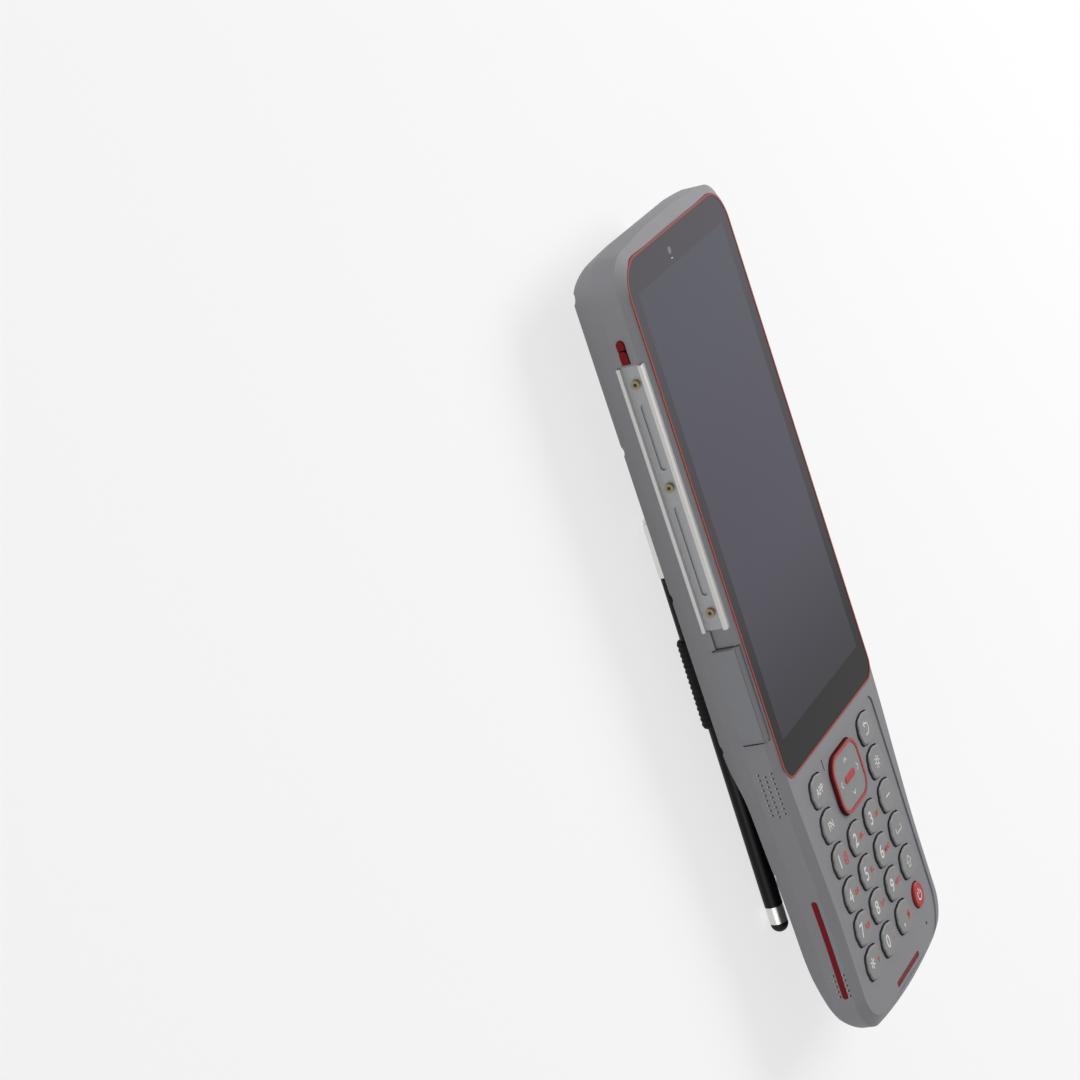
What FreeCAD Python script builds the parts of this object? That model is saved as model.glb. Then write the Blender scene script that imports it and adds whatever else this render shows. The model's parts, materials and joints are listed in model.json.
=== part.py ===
import FreeCAD, Part
import math
import os

# Handheld data collector: a 5.5 inch touch terminal with a keypad, a side accessory rail, a hand
# strap and a stylus. Millimetres. X points right, Y towards the screen end, Z out of the screen.
# The part lies on the pad of its strap: Z = 0 is that plane, and X = Y = 0 is the middle of the
# housing. Most places are given from the middle of the cover glass: "up" along Y, "deep" below
# its front face.

Vector = FreeCAD.Vector

# ---- housing: plan
BODY_LENGTH = 227.0
SCREEN_WIDTH = 78.6            # width beside the screen
WAIST_DRAW = 3.7               # each side draws in this much beside the keypad
TOP_CORNER_R = 10.0
BOTTOM_CORNER_R = 12.0
TOP_CROWN_R = 300.0
BOTTOM_CROWN_R = 193.0
WAIST_ABOVE_GLASS_END = 9.8    # where the sides start to draw in
WAIST_LENGTH = 61.0

# ---- housing: section
BEVEL_WIDTH = 3.0
BEVEL_DEPTH = 1.9
SIDE_DEPTH = 8.2               # lower edge of the upright side wall
SHOULDER_DEPTH = 12.4
SHOULDER_INSET = 1.6
BATTERY_DEPTH = 16.5           # back face behind the screen
BACK_INSET = 4.6
GRIP_DEPTH = 13.4              # back face behind the keypad
STEP_ABOVE_GLASS_END = 11.8    # the back steps from one depth to the other
STEP_LENGTH = 21.0
TOP_BACK_R = 12.0
TIP_DEPTH = 2.6                # thickness left at the keypad end
TIP_SWEEP_R = 50.0
SEAM_DEPTH = 10.0              # front and rear housing meet here
SIDE_WALL = 5.5
FRONT_WALL = 2.2
BACK_WALL = 2.0
REAR_SIDE_WALL = 6.0

# ---- fits
FIT_GAP = 0.05                 # between glued and seated pieces
KEY_GAP = 0.3                  # round every key in its hole
RUN_GAP = 0.1                  # under key flanges

# ---- screen
GLASS_SIDE_MARGIN = 3.45       # from the glass to the housing's sides
GLASS_TOP_R = 9.0
GLASS_BOTTOM_R = 4.5
GLASS_THICK = 1.1
TRIM_WIDTH = 0.65
TRIM_PROUD = 0.12
TOP_MARGIN = 4.2               # from the glass to the end of the housing
DISPLAY_SIDE_MARGIN = 2.85     # inside the glass
DISPLAY_TOP_MARGIN = 6.6
DISPLAY_END_MARGIN = 8.0
DISPLAY_THICK = 2.0
DISPLAY_CORNER_R = 2.0
WINDOW_GAP = 0.3
CAMERA_X = -5.6
CAMERA_BELOW_GLASS_TOP = 3.1
CAMERA_D = 4.2
CAMERA_LENGTH = 3.4

# ---- keypad
KEY_SIDE_MARGIN = 15.251       # from the outer columns to the housing's sides
KEY_SPACE_X = 3.566            # between the keys of a row
KEY_PITCH_Y = 10.29
FIRST_ROW_BELOW_GLASS = 10.16
LAST_ROW_ABOVE_END = 17.59
KEY_HEIGHT = 7.9
KEY_BULGE = 0.45
KEY_CORNER_R = 2.6
KEY_TOP = 0.4                  # above the glass face
KEY_CHAMFER = 0.35
KEY_FLANGE = 0.8
KEY_FLANGE_THICK = 0.6
KEY_TRAVEL = 0.6
KEY_NUB_D = 3.0
KEY_NUB_LENGTH = 0.25
POWER_D = 7.2
PANEL_DEPTH = 0.4              # the keypad field lies this much below the glass face
PANEL_SIDE_MARGIN = 5.0        # from the housing's sides
PANEL_TOP_GAP = 4.0            # from the glass
PANEL_BOTTOM_GAP = 2.9         # from the keypad end
PANEL_CORNER_R = 12.0
MEMBRANE_THICK = 0.8
BOARD_GAP = 0.1
BOARD_THICK = 1.2

# ---- five-way key
NAV_WIDTH = 20.4
NAV_HEIGHT = 17.0
NAV_CORNER_R = 5.0
NAV_RING_WALL = 0.9
NAV_RING_TOP = 0.8
NAV_PLATE_TOP = 0.6
NAV_TRAVEL = 0.3
NAV_GAP = 0.4
NAV_CORE_WIDTH = 12.0
NAV_CORE_HEIGHT = 10.0
NAV_ARM_WIDTH = 4.0
NAV_ARM_REACH = 0.8            # arms reach this much past the ring, under the front wall
NAV_ARM_THICK = 0.35
NAV_ARM_DROP = 0.45            # rocking room between the arms and the front wall
NAV_BALL_R = 1.2
NAV_BALL_DEPTH = 2.9
NAV_CUP_GAP = 0.05
NAV_PLUNGER_D = 7.0
NAV_PLUNGER_GAP = 0.45         # below the plate

# ---- left side
RAIL_BELOW_TOP = 28.7          # from the screen end of the housing
RAIL_LENGTH = 73.3
RAIL_DEEP = 4.65               # middle of the rail below the glass face
RAIL_WIDTH = 7.1
RAIL_SEAT = 1.5                # recess in the side wall
RAIL_BASE = 1.2
RAIL_FLANGE = 1.0
RAIL_PROUD = 1.2
RAIL_SLOT_WIDTH = 1.8
RAIL_SLOT_DEPTH = 0.6
RAIL_SCREWS_BELOW = (5.0, 33.4)                    # from the rail's upper end
RAIL_SCREW_ABOVE_END = 4.9
RAIL_SLOTS_BELOW_SCREW = (5.5, 5.3)
RAIL_SLOT_ABOVE_SCREW = 4.7
RAIL_SCREW_D = 1.6
RAIL_HEAD_D = 2.5
RAIL_HEAD_THICK = 0.7
RAIL_SCREW_LENGTH = 3.0
SIDE_KEY_DEEP = 5.3
SIDE_KEY_WIDTH = 2.1
SIDE_KEYS_ABOVE_RAIL = {"side_key_upper": (4.55, 7.0), "side_key_lower": (0.65, 4.3)}
SIDE_KEY_PROUD = 0.6
SIDE_KEY_GAP = 0.12
SIDE_KEY_FLANGE = 0.5
SIDE_KEY_FLANGE_THICK = 0.6
NOTCH_DEPTH = 1.1
NOTCH_WIDTH = 5.2
COVER_BELOW_RAIL = 5.8
COVER_LENGTH = 27.0
COVER_DEEP = 4.05
COVER_WIDTH = 6.7
COVER_PROUD = 1.2
COVER_THICK = 3.2
COVER_GAP = 0.3
COVER_FLOOR_GAP = 0.4
HINGE_PIN_D = 1.2
HINGE_LUG_R = 1.0
HINGE_LUG_WIDTH = 2.2
HINGE_SIDE_GAP = 0.1
HINGE_BORE_GAP = 0.05          # running, round the pin in the cover
PIN_SEAT_GAP = 0.02            # round the pin in its lug
HINGE_PIN_INSET = 0.6          # the pin stops short of the cover's faces
USB_BELOW_COVER_TOP = 11.2
USB_DEEP = 4.9
USB_WIDTH = 8.94
USB_HEIGHT = 3.26
USB_WALL = 0.3
USB_LENGTH = 7.3
STRIPE_ABOVE_END = (14.9, 44.4)
STRIPE_DEEP = 3.95
STRIPE_WIDTH = 1.7
STRIPE_SEAT = 0.8
STRIPE_PROUD = 0.1

# ---- keypad end
BAR_ABOVE_END = 4.9
BAR_LENGTH = 19.4
BAR_WIDTH = 1.6
BAR_SEAT = 0.9
BAR_SUNK = 0.15
MIC_X = 20.8
MIC_ABOVE_END = 8.5
MIC_D = 1.0
MIC_DEPTH = 1.5
LED_X = -12.2
LED_BELOW_GLASS = 6.3
LED_LENGTH = 3.3
LED_WIDTH = 0.5

# ---- fasteners
SCREWS_BELOW_TOP = (10.0, 51.5, 93.0)
SCREW_BELOW_COVER = 2.2
SCREW_ABOVE_END = 52.5
SCREW_EDGE_CUT = 0.5           # the pockets reach this much past the edge of the back face
SCREW_BOSS_WALL = 0.8
SCREW_D = 2.2
SCREW_HEAD_D = 3.2
SCREW_HEAD_THICK = 1.0
SCREW_POCKET_D = 3.8
SCREW_POCKET_FLOOR = 12.2      # depth at which the heads seat
SCREW_REACH = 3.6              # into the front housing
SMALL_SCREW_D = 1.8            # holds the board and the strap anchors
SMALL_HEAD_D = 3.2
SMALL_HEAD_THICK = 0.8
SMALL_SCREW_LENGTH = 2.2
SEAL_INSET = 1.7
SEAL_WIDTH = 0.7
SEAL_HEIGHT = 0.8
SEAL_END_GAP = 2.0

# ---- inside
BATTERY_SIDE_GAP = 3.3
BATTERY_BELOW_TOP = 38.0
BATTERY_ABOVE_STEP = 6.0
BATTERY_THICK = 6.2
BATTERY_CORNER_R = 3.0
BOARD_SIDE_GAP = 2.1
BOARD_TOP_UP = 40.0
LEDGE_WIDTH = 8.0
LEDGE_REACH = 5.0
LEDGE_THICK = 1.2
LEDGE_BELOW_GLASS_TOP = 41.8
LEDGE_ABOVE_GLASS_END = 46.8
SPEAKER_SIZE = (15.0, 11.0, 3.4)
SPEAKER_FROM_BOARD_SIDE = 9.0
SPEAKER_BELOW_GLASS = 1.7

# ---- back
LENS_BELOW_TOP = 20.0
LENS_D = 9.0
LENS_THICK = 0.8
BEZEL_D = 13.0
BEZEL_PROUD = 0.4
BEZEL_SEAT = 1.2
CAMERA_MODULE_D = 8.0
CAMERA_MODULE_LENGTH = 5.5
FLASH_X = 12.0
FLASH_D = 4.0
FLASH_THICK = 1.0

# ---- hand strap
HAND_GAP = 5.9                 # between the back face and the pad
PAD_THICK = 3.6
PAD_WIDTH = 36.0
PAD_CORNER_R = 11.0
PAD_BELOW_ANCHOR = 16.0
PAD_ABOVE_ANCHOR = 24.0
WEB_WIDTH = 20.0
WEB_THICK = 1.4
ANCHOR_BELOW_TOP = 49.0
ANCHOR_ABOVE_END = 40.0
ANCHOR_WIDTH = 27.0
ANCHOR_LENGTH = 9.0
ANCHOR_BASE = 1.5
ANCHOR_EAR = 2.4
ANCHOR_EAR_R = 2.0
BAR_R = 1.25
BAR_DROP = 4.4                 # bar centre below the back face
BAR_FIT = 0.08

# ---- stylus
STYLUS_X = -22.0
STYLUS_R = 2.55
STYLUS_BELOW_PAD_TOP = 9.0
STYLUS_LENGTH = 122.0
STYLUS_TOP_DEEP = 21.0
STYLUS_TIP_DEEP = 22.6
CAP_LENGTH = 3.0
CLIP_LENGTH = 16.0
CLIP_WIDTH = 2.4
CLIP_THICK = 0.6
CLIP_LIFT = 0.7
COLLAR_LENGTH = 5.0
TIP_LENGTH = 3.0
LOOP_BELOW_PAD_TOP = 44.0
LOOP_LENGTH = 25.0
LOOP_WALL = 1.25
LOOP_FIT = 0.08
TAB_REACH = 12.0
TAB_THICK = 1.0

# ---- places worked out from the above
FRONT_Z = BATTERY_DEPTH + HAND_GAP + PAD_THICK
TOP_Y = BODY_LENGTH / 2
GRIP_WIDTH = SCREEN_WIDTH - 2 * WAIST_DRAW
GLASS_WIDTH = SCREEN_WIDTH - 2 * GLASS_SIDE_MARGIN
KEYPAD_LENGTH = FIRST_ROW_BELOW_GLASS + 5 * KEY_PITCH_Y + LAST_ROW_ABOVE_END
GLASS_LENGTH = BODY_LENGTH - TOP_MARGIN - KEYPAD_LENGTH
GLASS_TOP_UP = GLASS_LENGTH / 2
GLASS_END_UP = -GLASS_LENGTH / 2
HOUSING_TOP_UP = GLASS_TOP_UP + TOP_MARGIN
HOUSING_END_UP = HOUSING_TOP_UP - BODY_LENGTH
SCREEN_Y = TOP_Y - TOP_MARGIN - GLASS_LENGTH / 2
SIDE_X = -SCREEN_WIDTH / 2
SEAM_Z = FRONT_Z - SEAM_DEPTH
CAVITY_Z = FRONT_Z - FRONT_WALL
WAIST_TOP = SCREEN_Y + GLASS_END_UP + WAIST_ABOVE_GLASS_END
WAIST_BOTTOM = WAIST_TOP - WAIST_LENGTH
PANEL_Z = FRONT_Z - PANEL_DEPTH
FLANGE_TOP_Z = CAVITY_Z - RUN_GAP
NUB_Z = FLANGE_TOP_Z - KEY_FLANGE_THICK - KEY_NUB_LENGTH
MEMBRANE_Z = NUB_Z - KEY_TRAVEL - FIT_GAP
BOARD_Z = MEMBRANE_Z - MEMBRANE_THICK - BOARD_GAP
CHAMBER_Z = BOARD_Z - BOARD_THICK - KEY_GAP
BATTERY_FLOOR_Z = FRONT_Z - BATTERY_DEPTH + BACK_WALL
FIRST_ROW_Y = SCREEN_Y - GLASS_LENGTH / 2 - FIRST_ROW_BELOW_GLASS
LAST_ROW_Y = FIRST_ROW_Y - 5 * KEY_PITCH_Y
NAV_Y = FIRST_ROW_Y - KEY_PITCH_Y / 2
CHAMBER_END = LAST_ROW_Y - KEY_HEIGHT / 2 - KEY_BULGE - KEY_FLANGE - 1.0
CAVITY_END = LAST_ROW_Y
BIG = 400.0

# ---- places given from the middle of the glass
DISPLAY_WIDTH = GLASS_WIDTH - 2 * DISPLAY_SIDE_MARGIN
DISPLAY_LENGTH = GLASS_LENGTH - DISPLAY_TOP_MARGIN - DISPLAY_END_MARGIN
DISPLAY_UP = (DISPLAY_END_MARGIN - DISPLAY_TOP_MARGIN) / 2
CAMERA_UP = GLASS_TOP_UP - CAMERA_BELOW_GLASS_TOP
KEY_PITCH_X = (GRIP_WIDTH / 2 - KEY_SIDE_MARGIN) / 1.5
KEY_WIDTH = KEY_PITCH_X - KEY_SPACE_X
PANEL_HALF_WIDTH = GRIP_WIDTH / 2 - PANEL_SIDE_MARGIN
BOARD_WIDTH = GRIP_WIDTH - 2 * (SIDE_WALL + BOARD_SIDE_GAP)
MEMBRANE_WIDTH = BOARD_WIDTH
STEP_TOP_UP = GLASS_END_UP + STEP_ABOVE_GLASS_END
RAIL_TOP_UP = HOUSING_TOP_UP - RAIL_BELOW_TOP
RAIL_END_UP = RAIL_TOP_UP - RAIL_LENGTH
RAIL_UP = (RAIL_TOP_UP + RAIL_END_UP) / 2
RAIL_SCREWS_UP = [RAIL_TOP_UP - below for below in RAIL_SCREWS_BELOW] + [RAIL_END_UP + RAIL_SCREW_ABOVE_END]
SIDE_KEY_SPANS = {name: (RAIL_TOP_UP + low, RAIL_TOP_UP + high)
                  for name, (low, high) in SIDE_KEYS_ABOVE_RAIL.items()}
COVER_TOP_UP = RAIL_END_UP - COVER_BELOW_RAIL
USB_UP = COVER_TOP_UP - USB_BELOW_COVER_TOP
STRIPE_UP = [HOUSING_END_UP + above for above in STRIPE_ABOVE_END]
BAR_UP = HOUSING_END_UP + BAR_ABOVE_END
MIC_UP = HOUSING_END_UP + MIC_ABOVE_END
LED_UP = GLASS_END_UP - LED_BELOW_GLASS
SCREWS_UP = [HOUSING_TOP_UP - below for below in SCREWS_BELOW_TOP]
SCREWS_UP += [COVER_TOP_UP - COVER_LENGTH - SCREW_BELOW_COVER, HOUSING_END_UP + SCREW_ABOVE_END]
BATTERY_WIDTH = SCREEN_WIDTH - 2 * (REAR_SIDE_WALL + BATTERY_SIDE_GAP)
BATTERY_TOP_UP = HOUSING_TOP_UP - BATTERY_BELOW_TOP
BATTERY_END_UP = STEP_TOP_UP + BATTERY_ABOVE_STEP
BATTERY_LENGTH = BATTERY_TOP_UP - BATTERY_END_UP
BATTERY_UP = (BATTERY_TOP_UP + BATTERY_END_UP) / 2
LEDGES_UP = (GLASS_TOP_UP - LEDGE_BELOW_GLASS_TOP, GLASS_END_UP + LEDGE_ABOVE_GLASS_END)
SPEAKER_UP = GLASS_END_UP - SPEAKER_BELOW_GLASS
SPEAKER_X = SPEAKER_FROM_BOARD_SIDE - BOARD_WIDTH / 2
LENS_UP = HOUSING_TOP_UP - LENS_BELOW_TOP
ANCHOR_UPS = {"upper": HOUSING_TOP_UP - ANCHOR_BELOW_TOP, "lower": HOUSING_END_UP + ANCHOR_ABOVE_END}
PAD_TOP_UP = ANCHOR_UPS["upper"] - PAD_BELOW_ANCHOR
PAD_BOTTOM_UP = ANCHOR_UPS["lower"] + PAD_ABOVE_ANCHOR
STYLUS_TOP_UP = PAD_TOP_UP - STYLUS_BELOW_PAD_TOP
LOOP_TOP_UP = PAD_TOP_UP - LOOP_BELOW_PAD_TOP


def rail_slots():
    # each slot lies between two of the rail's screws, as its middle and its length
    slots = []
    for above, below, gap in zip(RAIL_SCREWS_UP, RAIL_SCREWS_UP[1:], RAIL_SLOTS_BELOW_SCREW):
        high, low = above - gap, below + RAIL_SLOT_ABOVE_SCREW
        slots.append(((high + low) / 2, high - low))
    return slots


def up(distance):
    # Y of a place given from the middle of the glass
    return SCREEN_Y + distance


def deep(depth):
    # Z of a place given below the glass face
    return FRONT_Z - depth


def half_width(y):
    # half the housing's width at Y, along the drawn-in waist
    share = min(max((y - WAIST_BOTTOM) / WAIST_LENGTH, 0.0), 1.0)
    blend = share * share * (3 - 2 * share)
    return GRIP_WIDTH / 2 + (SCREEN_WIDTH - GRIP_WIDTH) / 2 * blend


def box(x0, x1, y0, y1, z0, z1):
    return Part.makeBox(x1 - x0, y1 - y0, z1 - z0, Vector(x0, y0, z0))


def cylinder(x, y, z0, z1, radius):
    return Part.makeCylinder(radius, z1 - z0, Vector(x, y, z0))


def cylinder_x(x0, x1, y, z, radius):
    return Part.makeCylinder(radius, x1 - x0, Vector(x0, y, z), Vector(1, 0, 0))


def fuse(*shapes):
    return shapes[0].fuse(list(shapes[1:])).removeSplitter()


def prism(wire, height):
    return Part.Face(wire).extrude(Vector(0, 0, height))


def arc(a, b, c):
    return Part.Arc(Vector(*a), Vector(*b), Vector(*c)).toShape()


def line(a, b):
    return Part.LineSegment(Vector(*a), Vector(*b)).toShape()


def end_corner(end, side, half, corner_r, crown_r, inset, z):
    # a corner arc and the points where it meets the side and the crowned end
    # end is +1 at the screen end and -1 at the keypad end; side is +1 on the right
    centre_x = half - corner_r
    crown_y = TOP_Y - crown_r
    centre_y = crown_y + math.sqrt((crown_r - corner_r) ** 2 - centre_x ** 2)
    lean = math.atan2(centre_y - crown_y, centre_x)
    radius = corner_r - inset

    def at(angle):
        return (side * (centre_x + radius * math.cos(angle)), end * (centre_y + radius * math.sin(angle)), z)

    return at(0), at(lean / 2), at(lean)


def outline(inset, z):
    # plan outline of the housing, drawn in by inset, as a wire at z
    screen = SCREEN_WIDTH / 2
    grip = GRIP_WIDTH / 2
    right_top = end_corner(1, 1, screen, TOP_CORNER_R, TOP_CROWN_R, inset, z)
    left_top = end_corner(1, -1, screen, TOP_CORNER_R, TOP_CROWN_R, inset, z)
    right_low = end_corner(-1, 1, grip, BOTTOM_CORNER_R, BOTTOM_CROWN_R, inset, z)
    left_low = end_corner(-1, -1, grip, BOTTOM_CORNER_R, BOTTOM_CROWN_R, inset, z)

    def waist(side):
        pull = WAIST_LENGTH / 3
        low = side * (grip - inset)
        high = side * (screen - inset)
        poles = [(low, WAIST_BOTTOM, z), (low, WAIST_BOTTOM + pull, z),
                 (high, WAIST_TOP - pull, z), (high, WAIST_TOP, z)]
        curve = Part.BezierCurve()
        curve.setPoles([Vector(*pole) for pole in poles])
        return curve.toShape(), poles[0], poles[3]

    right_waist, right_narrow, right_wide = waist(1)
    left_waist, left_narrow, left_wide = waist(-1)
    edges = [line(right_low[0], right_narrow), right_waist, line(right_wide, right_top[0]),
             arc(*right_top), arc(right_top[2], (0, TOP_Y - inset, z), left_top[2]), arc(*left_top),
             line(left_top[0], left_wide), left_waist, line(left_narrow, left_low[0]),
             arc(*left_low), arc(left_low[2], (0, inset - TOP_Y, z), right_low[2]), arc(*right_low)]
    return Part.Wire(edges)


def outline_prism(inset, z0, z1):
    return prism(outline(inset, z0), z1 - z0)


def round_rect(x, y, width, height, top_r, bottom_r, z):
    # rounded rectangle as a wire, with its own radius at the top and at the bottom corners
    left, right = x - width / 2, x + width / 2
    low, high = y - height / 2, y + height / 2

    def corner(cx, cy, radius, start):
        angles = [math.radians(start + turn) for turn in (0, 45, 90)]
        return [(cx + radius * math.cos(a), cy + radius * math.sin(a), z) for a in angles]

    corners = [corner(right - top_r, high - top_r, top_r, 0), corner(left + top_r, high - top_r, top_r, 90),
               corner(left + bottom_r, low + bottom_r, bottom_r, 180),
               corner(right - bottom_r, low + bottom_r, bottom_r, 270)]
    edges = []
    for index, points in enumerate(corners):
        edges.append(arc(*points))
        start, end = Vector(*points[2]), Vector(*corners[(index + 1) % 4][0])
        if start.distanceToPoint(end) > 1e-6:
            edges.append(Part.LineSegment(start, end).toShape())
    return Part.Wire(edges)


def round_block(x, y, width, height, radius, z0, z1):
    return prism(round_rect(x, y, width, height, radius, radius, z0), z1 - z0)


def side_profile():
    # the housing seen from the side, as a solid wider than the housing
    back = deep(BATTERY_DEPTH)
    grip_back = deep(GRIP_DEPTH)
    step_top = up(STEP_TOP_UP)
    step_low = step_top - STEP_LENGTH
    rise = GRIP_DEPTH - TIP_DEPTH
    sweep = math.sqrt(TIP_SWEEP_R ** 2 - (TIP_SWEEP_R - rise) ** 2)
    sweep_start = sweep - TOP_Y
    half_sweep = math.asin(sweep / TIP_SWEEP_R) / 2
    sweep_middle = (-BIG, sweep_start - TIP_SWEEP_R * math.sin(half_sweep),
                    grip_back + TIP_SWEEP_R * (1 - math.cos(half_sweep)))
    bend = TOP_BACK_R * math.sin(math.radians(45))
    step = Part.BezierCurve()
    step.setPoles([Vector(-BIG, step_low, grip_back), Vector(-BIG, step_low + STEP_LENGTH / 2, grip_back),
                   Vector(-BIG, step_top - STEP_LENGTH / 2, back), Vector(-BIG, step_top, back)])
    top_turn = (-BIG, TOP_Y - TOP_BACK_R + bend, back + TOP_BACK_R - bend)
    edges = [
        line((-BIG, -TOP_Y, FRONT_Z + BIG), (-BIG, -TOP_Y, deep(TIP_DEPTH))),
        arc((-BIG, -TOP_Y, deep(TIP_DEPTH)), sweep_middle, (-BIG, sweep_start, grip_back)),
        line((-BIG, sweep_start, grip_back), (-BIG, step_low, grip_back)),
        step.toShape(),
        line((-BIG, step_top, back), (-BIG, TOP_Y - TOP_BACK_R, back)),
        arc((-BIG, TOP_Y - TOP_BACK_R, back), top_turn, (-BIG, TOP_Y, back + TOP_BACK_R)),
        line((-BIG, TOP_Y, back + TOP_BACK_R), (-BIG, TOP_Y, FRONT_Z + BIG)),
        line((-BIG, TOP_Y, FRONT_Z + BIG), (-BIG, -TOP_Y, FRONT_Z + BIG))]
    return Part.Face(Part.Wire(edges)).extrude(Vector(2 * BIG, 0, 0))


def housing_body():
    # the closed outer form of both housings
    sections = [(0.0, BEVEL_WIDTH), (BEVEL_DEPTH, 0.0), (SIDE_DEPTH, 0.0),
                (SHOULDER_DEPTH, SHOULDER_INSET), (BATTERY_DEPTH, BACK_INSET)]
    wires = [outline(inset, deep(depth)) for depth, inset in sections]
    form = Part.makeLoft(wires, True, True)
    return form.common(side_profile())


# ---- keys

def key_wire(width, height, z):
    # rounded key outline whose four sides bulge a little
    right, high = width / 2, height / 2
    radius = KEY_CORNER_R
    bulge = KEY_BULGE
    sides = [((right, -high + radius), (right + bulge, 0), (right, high - radius)),
             ((right - radius, high), (0, high + bulge), (-right + radius, high)),
             ((-right, high - radius), (-right - bulge, 0), (-right, -high + radius)),
             ((-right + radius, -high), (0, -high - bulge), (right - radius, -high))]
    turn = radius * (1 - math.cos(math.radians(45)))
    middles = [(right - turn, high - turn), (-right + turn, high - turn),
               (-right + turn, -high + turn), (right - turn, -high + turn)]
    edges = []
    for index, points in enumerate(sides):
        edges.append(arc(*[(x, y, z) for x, y in points]))
        following = sides[(index + 1) % 4][0]
        corner = (points[2], middles[index], following)
        edges.append(arc(*[(x, y, z) for x, y in corner]))
    return Part.Wire(edges)


def key_solid():
    top = FRONT_Z + KEY_TOP
    body_bottom = FLANGE_TOP_Z - KEY_FLANGE_THICK
    side = prism(key_wire(KEY_WIDTH, KEY_HEIGHT, body_bottom), top - KEY_CHAMFER - body_bottom)
    crown = Part.makeLoft([key_wire(KEY_WIDTH, KEY_HEIGHT, top - KEY_CHAMFER),
                           key_wire(KEY_WIDTH - 2 * KEY_CHAMFER, KEY_HEIGHT - 2 * KEY_CHAMFER, top)],
                          True, True)
    flange = round_block(0, 0, KEY_WIDTH + 2 * KEY_FLANGE, KEY_HEIGHT + 2 * KEY_FLANGE, KEY_CORNER_R,
                         body_bottom, FLANGE_TOP_Z)
    nub = cylinder(0, 0, NUB_Z, body_bottom, KEY_NUB_D / 2)
    return fuse(side, crown, flange, nub)


def power_key_solid():
    top = FRONT_Z + KEY_TOP
    body_bottom = FLANGE_TOP_Z - KEY_FLANGE_THICK
    radius = POWER_D / 2
    side = cylinder(0, 0, body_bottom, top - KEY_CHAMFER, radius)
    crown = Part.makeCone(radius, radius - KEY_CHAMFER, KEY_CHAMFER, Vector(0, 0, top - KEY_CHAMFER))
    flange = cylinder(0, 0, body_bottom, FLANGE_TOP_Z, radius + KEY_FLANGE)
    nub = cylinder(0, 0, NUB_Z, body_bottom, KEY_NUB_D / 2)
    return fuse(side, crown, flange, nub)


KEY_NAMES = [["key_app", "key_fn", "key_1", "key_4", "key_7", "key_star"],
             [None, None, "key_2", "key_5", "key_8", "key_0"],
             [None, None, "key_3", "key_6", "key_9", "key_dot"],
             ["key_back", "key_menu", "key_minus", "key_space", "key_hash", "key_power"]]


def key_places():
    places = {}
    for column, names in enumerate(KEY_NAMES):
        for row, name in enumerate(names):
            if name:
                places[name] = ((column - 1.5) * KEY_PITCH_X, FIRST_ROW_Y - row * KEY_PITCH_Y)
    return places


def make_keys():
    plain = key_solid()
    keys = {}
    for name, (x, y) in key_places().items():
        shape = power_key_solid() if name == "key_power" else plain.copy()
        shape.translate(Vector(x, y, 0))
        keys[name] = shape
    return keys


def key_holes():
    low, high = CAVITY_Z - 1, FRONT_Z + 1
    plain = prism(key_wire(KEY_WIDTH + 2 * KEY_GAP, KEY_HEIGHT + 2 * KEY_GAP, low), high - low)
    holes = []
    for name, (x, y) in key_places().items():
        if name == "key_power":
            holes.append(cylinder(x, y, low, high, POWER_D / 2 + KEY_GAP))
        else:
            hole = plain.copy()
            hole.translate(Vector(x, y, 0))
            holes.append(hole)
    holes.append(round_block(0, NAV_Y, NAV_WIDTH + 2 * NAV_GAP, NAV_HEIGHT + 2 * NAV_GAP,
                             NAV_CORNER_R + NAV_GAP, low, high))
    return holes


def make_nav():
    arm_top = CAVITY_Z - NAV_ARM_DROP
    arm_bottom = arm_top - NAV_ARM_THICK
    inner_width = NAV_WIDTH - 2 * NAV_RING_WALL
    inner_height = NAV_HEIGHT - 2 * NAV_RING_WALL
    inner_r = NAV_CORNER_R - NAV_RING_WALL
    ring = round_block(0, NAV_Y, NAV_WIDTH, NAV_HEIGHT, NAV_CORNER_R, CAVITY_Z, FRONT_Z + NAV_RING_TOP)
    ring = ring.cut(round_block(0, NAV_Y, inner_width, inner_height, inner_r, CAVITY_Z - 1, FRONT_Z + BIG))
    plate = round_block(0, NAV_Y, inner_width - 2 * FIT_GAP, inner_height - 2 * FIT_GAP,
                        inner_r - FIT_GAP, CAVITY_Z, FRONT_Z + NAV_PLATE_TOP)
    core = round_block(0, NAV_Y, NAV_CORE_WIDTH, NAV_CORE_HEIGHT, 2.0, arm_bottom, FRONT_Z)
    reach_x = NAV_WIDTH / 2 + NAV_ARM_REACH
    reach_y = NAV_HEIGHT / 2 + NAV_ARM_REACH
    half_arm = NAV_ARM_WIDTH / 2
    arms = [box(-reach_x, reach_x, NAV_Y - half_arm, NAV_Y + half_arm, arm_bottom, arm_top),
            box(-half_arm, half_arm, NAV_Y - reach_y, NAV_Y + reach_y, arm_bottom, arm_top)]
    centre = Vector(0, NAV_Y, deep(NAV_BALL_DEPTH))
    cup = Part.makeSphere(NAV_BALL_R + NAV_CUP_GAP, centre)
    plate = fuse(plate, core, *arms).cut(cup)
    plunger_top = arm_bottom - NAV_PLUNGER_GAP
    plunger_low = BOARD_Z + NAV_TRAVEL + RUN_GAP
    plunger = cylinder(0, NAV_Y, plunger_low, plunger_top, NAV_PLUNGER_D / 2).cut(cup)
    return {"nav_ring": ring, "nav_plate": plate, "nav_plunger": plunger,
            "nav_pivot_ball": Part.makeSphere(NAV_BALL_R, centre)}


# ---- screen stack

def glass_block(grow, z0, z1):
    wire = round_rect(0, SCREEN_Y, GLASS_WIDTH + 2 * grow, GLASS_LENGTH + 2 * grow,
                      GLASS_TOP_R + grow, GLASS_BOTTOM_R + grow, z0)
    return prism(wire, z1 - z0)


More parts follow.
